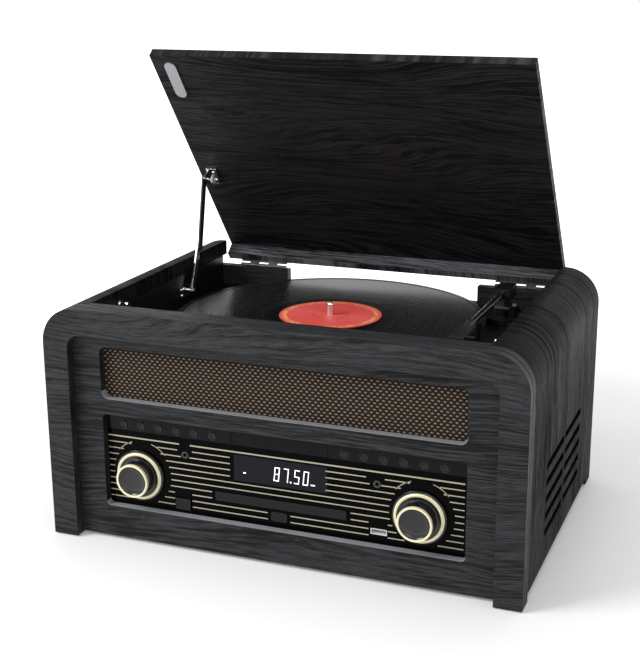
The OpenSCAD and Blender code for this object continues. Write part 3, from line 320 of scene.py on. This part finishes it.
def vinyl_record():
    """Pressed vinyl with bands of grooves, round a printed paper label."""
    g = Graph("vinyl_and_label")
    x, y, _ = g.parts(g.place())
    dx = g.math("SUBTRACT", x, SPINDLE.x)
    dy = g.math("SUBTRACT", y, SPINDLE.y)
    far = g.math("SQRT", g.math("ADD", g.math("MULTIPLY", dx, dx), g.math("MULTIPLY", dy, dy)))
    share = g.math("DIVIDE", far, VINYL_R)
    on_label = g.math("LESS_THAN", far, LABEL_R)
    bands = g.noise(g.vector(g.math("MULTIPLY", far, 260.0), 0.0, 0.0), detail=3)
    # six tracks with smooth gaps between them
    track = g.math("ABSOLUTE", g.math("SINE", g.math("MULTIPLY", far, TRACK_WAVE)))
    gap = g.math("LESS_THAN", track, 0.07)
    blank = g.math("GREATER_THAN", share, LEAD_IN)
    smooth = g.math("MAXIMUM", g.math("MAXIMUM", gap, blank), g.math("LESS_THAN", share, RUN_OUT))
    groove = g.math("SINE", g.math("MULTIPLY", far, GROOVE_WAVE))
    groove = g.math("MULTIPLY", groove, g.math("SUBTRACT", 1.0, g.math("MAXIMUM", smooth, on_label)))
    # painted sheen: the vinyl's colour is lighter and darker in rings by radius, for the sheen of the
    # groove bands
    vinyl = g.mix(bands, (0.0030, 0.0032, 0.0037), (0.0070, 0.0074, 0.0082))
    spread = g.noise(g.place(), scale=180.0, detail=3)
    red = g.mix(spread, (0.70, 0.070, 0.060), (0.80, 0.105, 0.090))
    ring = g.math("LESS_THAN", g.math("ABSOLUTE", g.math("SUBTRACT", far, LABEL_RING)), LABEL_RING_HALF)
    dots = g.ramp(g.noise(g.place(), scale=330.0, detail=2), (0.42, 0.0), (0.58, 1.0))
    orange = g.mix(dots, (0.74, 0.09, 0.05), (0.90, 0.42, 0.14))
    label = g.mix(ring, red, orange)
    # painted shade: the pressed ring round the hole is darker red
    press = g.math("LESS_THAN", g.math("ABSOLUTE", g.math("SUBTRACT", far, PRESS_RING)), PRESS_RING_HALF)
    label = g.mix(press, label, (0.42, 0.03, 0.03))
    g.paint(g.mix(on_label, vinyl, label))
    shiny = g.math("ADD", 0.20, g.math("MULTIPLY", bands, 0.14))
    shiny = g.math("SUBTRACT", shiny, g.math("MULTIPLY", smooth, 0.08))
    g.rough(g.math("ADD", g.math("MULTIPLY", shiny, g.math("SUBTRACT", 1.0, on_label)),
                   g.math("MULTIPLY", on_label, 0.55)))
    g.bump(groove, strength=0.05, depth=0.02 * MM)
    # the grooves smear light across them
    g.plug(g.shader.inputs["Tangent"], g.vector(g.math("MULTIPLY", dy, -1.0), dx, 0.0))
    g.shader.inputs["Anisotropic"].default_value = 0.75
    return g.mat


CREAM = (0.86, 0.79, 0.52)
UP = (0, 0, 1)
BACKWARD = (0, 1, 0)
LID_DOWN = (0, -math.cos(LID_OPEN), math.sin(LID_OPEN))    # along the open lid, square to its grain
LID_OUT = (0, math.sin(LID_OPEN), math.cos(LID_OPEN))      # square to the open lid
# painted shade: the sides' tones are scaled down, and their slots are painted near black as shade
SIDE_FIGURE = {"sides": BACKWARD, "shade": 0.42, "wander": 0.8, "gloss": 0.03, "vents": True}


def all_materials():
    return {
        # painted light and shade: each part's tone scale makes it lighter or darker for how the light
        # falls on it
        "cabinet": veneer("veneer_cabinet", UP, sides=BACKWARD, seed=1.0, shade=0.85),
        "panel": veneer("veneer_panel", UP, sides=BACKWARD, seed=5.3, shade=0.85),
        "side_l": veneer("veneer_left_side", BACKWARD, seed=9.1, **SIDE_FIGURE),
        "side_r": veneer("veneer_right_side", BACKWARD, seed=14.7, **SIDE_FIGURE),
        # painted shade: the open lid's inner face, turned downward, is darkened
        "lid": veneer("veneer_lid", LID_DOWN, seed=21.4, shade=0.62, wander=1.6, gloss=0.10),
        # painted light: the rear strip's tones are lifted 3.6 times, as it catches the light from above
        "strip": veneer("veneer_strip", LID_OUT, seed=27.0, shade=3.6),
        # painted shade: the back panel down in the well is darkened
        "back": veneer("veneer_back", UP, sides=BACKWARD, seed=33.0, shade=0.6),
        "board": plain("painted_board", (0.012, 0.012, 0.013), 0.6, speck=0.4, edge=1 * MM),
        "well": plain("well_plastic", (0.006, 0.0062, 0.0068), 0.30, speck=0.1, edge=0.8 * MM, spec=0.2),
        "gloss": plain("gloss_black", (0.0010, 0.0010, 0.0011), 0.12, edge=0.5 * MM, spec=0.04),
        "strip_gloss": plain("strip_black", (0.003, 0.0034, 0.0046), 0.20, edge=0.4 * MM, spec=0.12),
        "dull": plain("dull_black", (0.012, 0.012, 0.013), 0.45, speck=0.3, edge=0.5 * MM),
        "rubber": plain("rubber", (0.015, 0.015, 0.015), 0.8, speck=0.6),
        "felt": plain("felt", (0.010, 0.010, 0.011), 0.95, speck=1.0),
        "green": plain("circuit_green", (0.02, 0.12, 0.05), 0.4, speck=0.3),
        "chrome": plain("chrome", (0.78, 0.79, 0.81), 0.10, 1.0, edge=0.3 * MM),
        "steel": brushed("steel", (0.55, 0.56, 0.58), 0.28),
        "hinge": brushed("hinge_steel", (0.30, 0.29, 0.27), 0.34),
        "drive": brushed("drive_steel", (0.45, 0.46, 0.48), 0.40),
        "badge": brushed("badge_metal", (0.42, 0.425, 0.435), 0.40, along=(0, 1, 1)),
        "arm": plain("arm_lacquer", (0.030, 0.031, 0.034), 0.16, 0.6, edge=0.3 * MM),
        "knob": plain("knob_black", (0.006, 0.0064, 0.0075), 0.15, edge=0.4 * MM, spec=0.5),
        "cream": plain("cream_enamel", CREAM, 0.30, 0.15, speck=0.05),
        "print": plain("cream_print", (0.40, 0.37, 0.27), 0.45),
        "digit": lit("display_light", (0.90, 0.93, 0.97), 0.9),
        "button": plain("button_black", (0.005, 0.0054, 0.0065), 0.22, edge=0.4 * MM, spec=0.22),
        "sockets": socket_finish(),
        # painted highlight: light grey band on the windows' lower edges, where they catch the light
        "edge_highlight": plain("painted_edge_highlight", (0.27, 0.28, 0.30), 0.34, speck=0.3),
        "bare": plain("bare_plate", (0.012, 0.013, 0.012), 0.30, speck=0.1, spec=0.15),
        "bezel": plain("button_bezel", (0.012, 0.0125, 0.014), 0.16, spec=0.5),
        "cloth": grille_cloth(),
        "record": vinyl_record(),
        "glass": display_glass(),
    }


USB_BELOW = 60 * MM             # the USB socket lies under this height and to the right of this X
USB_FROM = 80 * MM


def socket_finish():
    """Dull collars on the two round sockets, bright shell and white tongue in the USB socket."""
    g = Graph("socket_finish", rough=0.35)
    x, _, z = g.parts(g.place())
    usb = g.math("MULTIPLY", g.math("LESS_THAN", z, USB_BELOW), g.math("GREATER_THAN", x, USB_FROM))
    wear = g.noise(g.place(), scale=700.0, detail=2)
    dull = g.mix(wear, (0.010, 0.010, 0.011), (0.035, 0.036, 0.038))
    bright = g.mix(wear, (0.62, 0.62, 0.60), (0.80, 0.80, 0.78))
    g.paint(g.mix(usb, dull, bright))
    g.rough(g.ramp(wear, (0.3, 0.30), (0.7, 0.45)))
    return g.mat


def lit(name, colour, strength):
    """Lit figures behind the glass."""
    g = Graph(name, colour, 0.4)
    g.shader.inputs["Emission Color"].default_value = (*colour, 1)
    g.shader.inputs["Emission Strength"].default_value = strength
    glow = g.noise(g.place(), scale=600.0)
    g.rough(g.ramp(glow, (0.0, 0.35), (1.0, 0.5)))
    return g.mat


def display_glass():
    """Dark window with a faint smear in its gloss."""
    g = Graph("display_glass", (0.0055, 0.006, 0.0085), 0.08)
    smear = g.noise(g.place(), scale=60.0, detail=3)
    g.rough(g.ramp(smear, (0.3, 0.05), (0.8, 0.12)))
    g.shader.inputs["Specular IOR Level"].default_value = 0.14
    return g.mat


mats = all_materials()


# ---- mesh tools
SHARP_FROM = math.radians(35)


def new_piece(name, mesh, material, body="cabinet", smooth=False):
    """Put a mesh into the scene as a piece that rides on a body."""
    for one in (material if isinstance(material, list) else [material]):
        mesh.materials.append(one)
    made = bpy.data.objects.new(name, mesh)
    bpy.context.collection.objects.link(made)
    if smooth:
        for face in mesh.polygons:
            face.use_smooth = True
    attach(made, body)
    return made


def lathe(name, rings, place, body, materials, turns=72):
    """Turn a profile round an axis to the front. rings lists (reach, radius, material) in mm;
    its ends close at the axis, and the faces between two rings take the later ring's material."""
    mesh = bpy.data.meshes.new(name)
    bm = bmesh.new()
    angles = [2 * math.pi * i / turns for i in range(turns)]
    loops = []
    for reach, radius, _ in rings:
        if radius == 0:
            loops.append([bm.verts.new((0, 0, reach * MM))])
            continue
        loops.append([bm.verts.new((radius * MM * math.cos(t), radius * MM * math.sin(t), reach * MM))
                      for t in angles])
    for (a, b, ring) in zip(loops, loops[1:], rings[1:]):
        for i in range(turns):
            j = (i + 1) % turns
            if len(b) == 1:
                face = (a[i], a[j], b[0])
            elif len(a) == 1:
                face = (a[0], b[j], b[i])
            else:
                face = (a[i], a[j], b[j], b[i])
            bm.faces.new(face).material_index = ring[2]
    bmesh.ops.recalc_face_normals(bm, faces=bm.faces)
    to_front = Matrix.Rotation(math.pi / 2, 4, "X")
    bmesh.ops.transform(bm, matrix=Matrix.Translation(place) @ to_front, verts=bm.verts)
    bm.to_mesh(mesh)
    bm.free()
    mesh.polygons.foreach_set("use_smooth", [True] * len(mesh.polygons))
    mesh.set_sharp_from_angle(angle=SHARP_FROM)
    return new_piece(name, mesh, materials, body)


def plates(name, outlines, back, front, material):
    """Thin flat shapes facing the front: each outline is a list of (x, z) in mm."""
    mesh = bpy.data.meshes.new(name)
    bm = bmesh.new()
    for outline in outlines:
        rear = [bm.verts.new((x * MM, back, z * MM)) for x, z in outline]
        face = [bm.verts.new((x * MM, front, z * MM)) for x, z in outline]
        bm.faces.new(face)
        bm.faces.new(list(reversed(rear)))
        for i in range(len(outline)):
            j = (i + 1) % len(outline)
            bm.faces.new((face[i], face[j], rear[j], rear[i]))
    bmesh.ops.recalc_face_normals(bm, faces=bm.faces)
    bm.to_mesh(mesh)
    bm.free()
    return new_piece(name, mesh, material)


def bar(x0, x1, z, thick):
    """Outline of a level bar."""
    return [(x0, z - thick / 2), (x1, z - thick / 2), (x1, z + thick / 2), (x0, z + thick / 2)]


# ---- knobs
KNOBS = {"volume_knob": (-140.0, "volume"), "tuning_knob": (130.0, "tuning")}
KNOB_Z = 64.5
BLACK, PALE = 0, 1
KNOB_RINGS = [
    (0.3, 0, BLACK), (0.3, 24.6, BLACK), (1.4, 25.0, BLACK), (2.6, 24.4, BLACK), (3.2, 22.8, BLACK),
    (3.4, 22.2, PALE), (4.2, 22.1, PALE), (4.5, 21.7, PALE), (4.5, 20.6, PALE), (4.2, 20.0, PALE),
    (3.5, 19.9, BLACK), (3.1, 16.8, BLACK), (3.4, 16.0, BLACK), (13.4, 15.5, BLACK), (14.6, 15.6, BLACK),
    (14.8, 16.0, PALE), (16.6, 16.1, PALE), (17.3, 15.8, PALE), (17.5, 15.2, PALE), (17.4, 14.3, PALE),
    (17.0, 13.9, PALE), (16.6, 13.7, BLACK), (15.6, 12.2, BLACK), (14.9, 9.0, BLACK), (14.6, 4.5, BLACK),
    (14.5, 0, BLACK)]


def make_knobs():
    """Turned knobs with thin pale rings, which stand for the two plain CAD knobs."""
    for node, (x, body) in KNOBS.items():
        made = lathe(node + "_turned", KNOB_RINGS, Vector((x * MM, FASCIA_Y, KNOB_Z * MM)), body,
                     [mats["knob"], mats["cream"]])
        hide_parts(node)


# ---- fascia print, in mm: stripes with gaps where something stands in their way
WINDOW_HALF = 172.0
STRIPE_Z = 100.5                # top stripe
STRIPE_STEP = 6.0
STRIPE_ROWS = 10                # below the top one
STRIPE_T = 1.0
TOP_STRIPE_T = 1.35
RIGHT_MARGIN = 3.0
SHORTEST = 1.5
CLEAR_AT = ((-137.5, 66.0), (131.5, 66.0))      # middles of the bare rounds at the knobs
KNOB_CLEAR = 29.5
ARC_R = (31.4, 32.1)
ARC_SPANS = ((42, 72), (108, 138))
ARC_STEPS = 12
DISPLAY_GAP = (-48.5, 43.5)
TRAY_GAP = (-67.0, 67.0)
EJECT_GAP = (-105.0, -87.0)
USB_GAP = (83.5, 101.2)
PLATE_GAP = (-12.0, 10.0)
# bare stretches round the sockets and over the knobs, by row
ROW_GAPS = {
    0: [(-99.0, -88.0)],
    1: [(-148.3, -121.8), (-101.0, -86.0), (81.0, 98.2), (120.7, 147.0)],
    2: [(-97.5, -89.0), (84.3, 94.9)],
}
PRINT_T = 0.10


def row_gaps(row, z):
    """Stretches of a stripe that stay bare, as (from, to) pairs."""
    gaps = list(ROW_GAPS.get(row, []))
    for x, middle in CLEAR_AT:
        reach = KNOB_CLEAR ** 2 - (z - middle) ** 2
        if reach > 0:
            gaps.append((x - math.sqrt(reach), x + math.sqrt(reach)))
    if 1 <= row <= 4:
        gaps.append(DISPLAY_GAP)
    if row in (7, 8):
        gaps.append(TRAY_GAP)
    if row >= 8:
        gaps += [EJECT_GAP, USB_GAP]
    if row >= 9:
        gaps.append(PLATE_GAP)
    return gaps


def make_stripes():
    """Cream stripes over the whole fascia, and the arcs round the knobs."""
    outlines = []
    for row in range(STRIPE_ROWS + 1):
        z = STRIPE_Z - STRIPE_STEP * row
        thick = STRIPE_T if row else TOP_STRIPE_T
        x = -WINDOW_HALF
        for start, end in sorted(row_gaps(row, z)) + [(WINDOW_HALF - RIGHT_MARGIN, WINDOW_HALF)]:
            if start - x > SHORTEST:
                outlines.append(bar(x, start, z, thick))
            x = max(x, end)
    # two arcs over each knob
    for cx, cz in CLEAR_AT:
        for start, end in ARC_SPANS:
            turns = [math.radians(start + (end - start) * i / ARC_STEPS) for i in range(ARC_STEPS + 1)]
            inner, outer = [[(cx + r * math.cos(t), cz + r * math.sin(t)) for t in turns] for r in ARC_R]
            outlines.append(inner + outer[::-1])
    plates("fascia_stripes", outlines, PRINT_BACK, PRINT_BACK - PRINT_T * MM, mats["print"])


BEZEL_R = 4.35 * MM
BEZEL_TUBE = 0.30 * MM


def ring_mesh(bm, centre, radius, tube, turns=24, sides=8):
    """A ring facing the front, added to bm."""
    loops = []
    for i in range(turns):
        t = 2 * math.pi * i / turns
        out = Vector((math.cos(t), 0, math.sin(t)))
        loops.append([bm.verts.new(centre + out * (radius + tube * math.cos(2 * math.pi * k / sides))
                                   + Vector((0, tube * math.sin(2 * math.pi * k / sides), 0)))
                      for k in range(sides)])
    for i in range(turns):
        a, b = loops[i], loops[(i + 1) % turns]
        for k in range(sides):
            m = (k + 1) % sides
            bm.faces.new((a[k], a[m], b[m], b[k]))


def make_bezels():
    """Fine raised ring in the strip round each button."""
    mesh = bpy.data.meshes.new("button_bezels")
    bm = bmesh.new()
    strip_lo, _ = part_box("button_strips")
    for button in BUTTONS:
        lo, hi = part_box(button)
        middle = (lo + hi) / 2
        ring_mesh(bm, Vector((middle.x, strip_lo.y, middle.z)), BEZEL_R, BEZEL_TUBE)
    bmesh.ops.recalc_face_normals(bm, faces=bm.faces)
    bm.to_mesh(mesh)
    bm.free()
    new_piece("button_bezels", mesh, mats["bezel"], smooth=True)


FASCIA_WINDOW = (172.5, 33.0, 4.0)      # half width, lower edge and corner radius
GRILLE_WINDOW = (172.5, 138.0, 7.0)
EDGE_BAND = 0.4
EDGE_SET_IN = 0.3 * MM
BARE_AT = (-1.0, 43.8)
BARE_HALF = (7.85, 4.5)
BARE_CUT = 1.6                          # cut off each corner
BARE_T = 0.48 * MM
CORNER_STEPS = 8


def trough(half, low, corner, thick):
    """Band of one thickness along a window's lower edge and round its two lower corners."""
    turns = [math.pi + math.pi / 2 * i / CORNER_STEPS for i in range(CORNER_STEPS + 1)]
    outer, inner = [[(corner - half + r * math.cos(t), low + corner + r * math.sin(t)) for t in turns]
                    for r in (corner, corner - thick)]
    return outer + [(-x, z) for x, z in outer[::-1]] + [(-x, z) for x, z in inner] + inner[::-1]


def make_trim():
    """Bare plate low in the middle of the fascia, and light grey bands along the two windows' lower
    edges, a painted highlight where the edges catch the light.
    """
    x, z = BARE_AT
    a, b = BARE_HALF
    c = BARE_CUT
    points = [(-a, c - b), (c - a, -b), (a - c, -b), (a, c - b),
              (a, b - c), (a - c, b), (c - a, b), (-a, b - c)]
    plates("bare_plate", [[(x + dx, z + dz) for dx, dz in points]], PRINT_BACK, PRINT_BACK - BARE_T,
           mats["bare"])
    # painted highlight: light grey bands along the windows' lower edges stand in for the light those
    # edges catch
    bands = [trough(*FASCIA_WINDOW, EDGE_BAND), trough(*GRILLE_WINDOW, EDGE_BAND)]
    plates("window_edge_highlight", bands, FASCIA_Y - EDGE_SET_IN, PANEL_Y + EDGE_SET_IN, mats["edge_highlight"])


# ---- display digits, in mm
SEGMENTS = {"8": "abcdefg", "7": "abc", "5": "afgcd", "0": "abcdef"}
DIGIT_W = 5.0
DIGIT_H = 13.2
DIGIT_T = 0.85
DIGIT_Z = 78.0
DIGIT_LEAN = 0.10
SEGMENT_GAP = 0.18
FIGURES = (("8", -6.0), ("7", 2.6), ("5", 13.2), ("0", 21.8))
# the point and two small marks: from, to, height and thickness
MARKS = ((9.6, 11.2, DIGIT_Z + 0.7, 1.4), (-35.5, -33.0, 81.5, 1.2), (29.5, 33.5, 79.0, 1.1))
DISPLAY_FACE = 0.35             # the glass lies this far behind the fascia's face
FIGURE_T = 0.05


def digit(symbol, x):
    """Seven-segment figure as slanted bars."""
    w, h, t, mid, gap = DIGIT_W, DIGIT_H, DIGIT_T, DIGIT_H / 2, SEGMENT_GAP
    boxes = {
        "a": (gap, h - t, w - gap, h),
        "g": (gap, mid - t / 2, w - gap, mid + t / 2),
        "d": (gap, 0, w - gap, t),
        "f": (0, mid + gap, t, h - gap),
        "b": (w - t, mid + gap, w, h - gap),
        "e": (0, gap, t, mid - gap),
        "c": (w - t, gap, w, mid - gap),
    }
    made = []
    for key in SEGMENTS[symbol]:
        x0, z0, x1, z1 = boxes[key]
        ends = [(x0, z0), (x1, z0), (x1, z1), (x0, z1)]
        made.append([(x + ex + DIGIT_LEAN * ez, DIGIT_Z + ez) for ex, ez in ends])
    return made


def make_display():
    """Lit figures and marks on the display's glass."""
    glass = FASCIA_Y + DISPLAY_FACE * MM
    outlines = [outline for symbol, x in FIGURES for outline in digit(symbol, x)]
    outlines += [bar(*mark) for mark in MARKS]
    plates("display_figures", outlines, glass, glass - FIGURE_T * MM, mats["digit"])


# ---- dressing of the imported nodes
FINISHES = {
    "cabinet": ["front_frame"],
    "panel": ["front_panel"],
    "side_l": ["left_side"],
    "side_r": ["right_side"],
    "lid": ["lid_panel"],
    "strip": ["lid_rear_strip"],
    "back": ["back_panel"],
    "board": ["bottom_board", "speaker_baffle"],
    "well": ["deck_moulding", "tonearm_base", "disc_tray"],
    "dull": ["tonearm_gimbal", "headshell", "cue_lever", "speed_switch", "speakers", "rear_terminals",
             "stay_upper_arm", "platter"],
    "rubber": ["foot_pads", "drive_belt"],
    "green": ["control_board", "main_board"],
    "chrome": ["stay_wall_bracket", "stay_lower_arm", "stay_lid_bracket", "platter_spindle",
               "lid_rest_studs"],
    "steel": ["cabinet_screws", "motor_pulley", "counterweight"],
    "sockets": ["front_sockets"],
    "drive": ["disc_drive", "platter_motor"],
    "hinge": ["hinge_leaves", "hinge_flaps"],
    "button": BUTTONS + ["eject_button"],
    "badge": ["lid_badge"],
    "gloss": ["fascia"],
    "strip_gloss": ["button_strips"],
    "glass": ["display_window"],
    "cloth": ["grille_cloth"],
    "felt": ["slip_mat"],
    "record": ["record"],
    "arm": ["tonearm_tube"],
}


def dress_all():
    for finish, names in FINISHES.items():
        for name in names:
            dress(name, mats[finish])


# ---- camera, floor and light
CAMERA_AT = Vector((0.42456, -1.138691, 0.52597))
CAMERA_TURN = math.radians(21.3111)
CAMERA_DIP = math.radians(16.1034)
CAMERA_ROLL = math.radians(-0.3007)
LENS = 70.61


def make_camera():
    """Camera at the photographed viewpoint."""
    data = bpy.data.cameras.new("camera")
    data.lens = LENS
    data.sensor_width = 36
    camera = bpy.data.objects.new("camera", data)
    bpy.context.collection.objects.link(camera)
    back = Vector((math.sin(CAMERA_TURN) * math.cos(CAMERA_DIP),
                   -math.cos(CAMERA_TURN) * math.cos(CAMERA_DIP), math.sin(CAMERA_DIP)))
    right = (-back).cross(Vector((0, 0, 1))).normalized()
    up = right.cross(-back)
    rolled_right = right * math.cos(CAMERA_ROLL) + up * math.sin(CAMERA_ROLL)
    rolled_up = up * math.cos(CAMERA_ROLL) - right * math.sin(CAMERA_ROLL)
    turn = Matrix((rolled_right, rolled_up, back)).transposed().to_4x4()
    camera.matrix_world = Matrix.Translation(CAMERA_AT) @ turn
    bpy.context.scene.camera = camera


def area_light(name, at, aim, size, power):
    data = bpy.data.lights.new(name, "AREA")
    data.shape = "RECTANGLE"
    data.size, data.size_y = size
    data.energy = power
    made = bpy.data.objects.new(name, data)
    bpy.context.collection.objects.link(made)
    made.location = at
    made.rotation_euler = (Vector(aim) - Vector(at)).to_track_quat("-Z", "Y").to_euler()


FLOOR_COLOUR = (0.82, 0.82, 0.83)
FLOOR_HALF = 6.0
FLOOR_GLOW = 0.13
GLOW_FROM = 0.45                # metres from the object, where the floor brightens to white
GLOW_TO = 1.05
WORLD_LIGHT = 0.50


def backdrop_rays(tree):
    """One for rays that show the backdrop: from the camera, off gloss and through glass."""
    path = tree.nodes.new("ShaderNodeLightPath")
    total = path.outputs["Is Camera Ray"]
    for name in ("Is Glossy Ray", "Is Transmission Ray"):
        both = tree.nodes.new("ShaderNodeMath")
        both.operation = "MAXIMUM"
        tree.links.new(total, both.inputs[0])
        tree.links.new(path.outputs[name], both.inputs[1])
        total = both.outputs[0]
    return total


def make_stage():
    """Pale floor under the object."""
    mesh = bpy.data.meshes.new("floor")
    bm = bmesh.new()
    bmesh.ops.create_grid(bm, x_segments=1, y_segments=1, size=FLOOR_HALF)
    bm.to_mesh(mesh)
    bm.free()
    floor = bpy.data.objects.new("floor", mesh)
    bpy.context.collection.objects.link(floor)
    floor.location = (0, 0, TABLE_Z)
    g = Graph("floor_white", FLOOR_COLOUR, 0.5)
    # seen by the camera the floor is lifted towards white, and it keeps the object's shadow
    glow = g.node("ShaderNodeEmission")
    away = g.node("ShaderNodeVectorMath", operation="LENGTH")
    g.plug(away.inputs[0], g.place())
    spread = g.node("ShaderNodeMapRange", interpolation_type="SMOOTHSTEP")
    g.plug(spread.inputs["Value"], away.outputs["Value"])
    spread.inputs["From Min"].default_value = GLOW_FROM
    spread.inputs["From Max"].default_value = GLOW_TO
    spread.inputs["To Min"].default_value = FLOOR_GLOW
    g.plug(glow.inputs["Strength"], spread.outputs["Result"])
    add = g.node("ShaderNodeAddShader")
    pick = g.node("ShaderNodeMixShader")
    out = g.tree.nodes["Material Output"]
    g.tree.links.new(g.shader.outputs[0], add.inputs[0])
    g.tree.links.new(glow.outputs[0], add.inputs[1])
    g.tree.links.new(backdrop_rays(g.tree), pick.inputs[0])
    g.tree.links.new(g.shader.outputs[0], pick.inputs[1])
    g.tree.links.new(add.outputs[0], pick.inputs[2])
    g.tree.links.new(pick.outputs[0], out.inputs["Surface"])
    mesh.materials.append(g.mat)


def make_world():
    """Even light from all round, and a white backdrop where it is seen."""
    world = bpy.data.worlds.new("studio")
    bpy.context.scene.world = world
    world.use_nodes = True
    tree = world.node_tree
    back = tree.nodes["Background"]
    back.inputs["Color"].default_value = (1, 1, 1, 1)
    strength = tree.nodes.new("ShaderNodeMapRange")
    strength.inputs["To Min"].default_value = WORLD_LIGHT
    strength.inputs["To Max"].default_value = 1.0
    tree.links.new(backdrop_rays(tree), strength.inputs["Value"])
    tree.links.new(strength.outputs[0], back.inputs["Strength"])


def make_lights():
    area_light("key", (-1.5, -1.3, 1.5), (0, 0, 0.1), (1.1, 1.1), 42)
    area_light("top", (0.1, 0.0, 1.8), (0, 0, 0.1), (1.4, 1.2), 9)
    area_light("front", (0.5, -2.0, 0.9), (0, 0, 0.12), (1.4, 0.9), 7)
    area_light("right", (1.7, -0.2, 0.8), (0.1, 0, 0.12), (0.9, 1.0), 3)


make_camera()
make_stage()
make_world()
make_lights()
dress_all()
make_knobs()
make_stripes()
make_bezels()
make_trim()
make_display()
bpy.context.scene.view_settings.view_transform = "Standard"
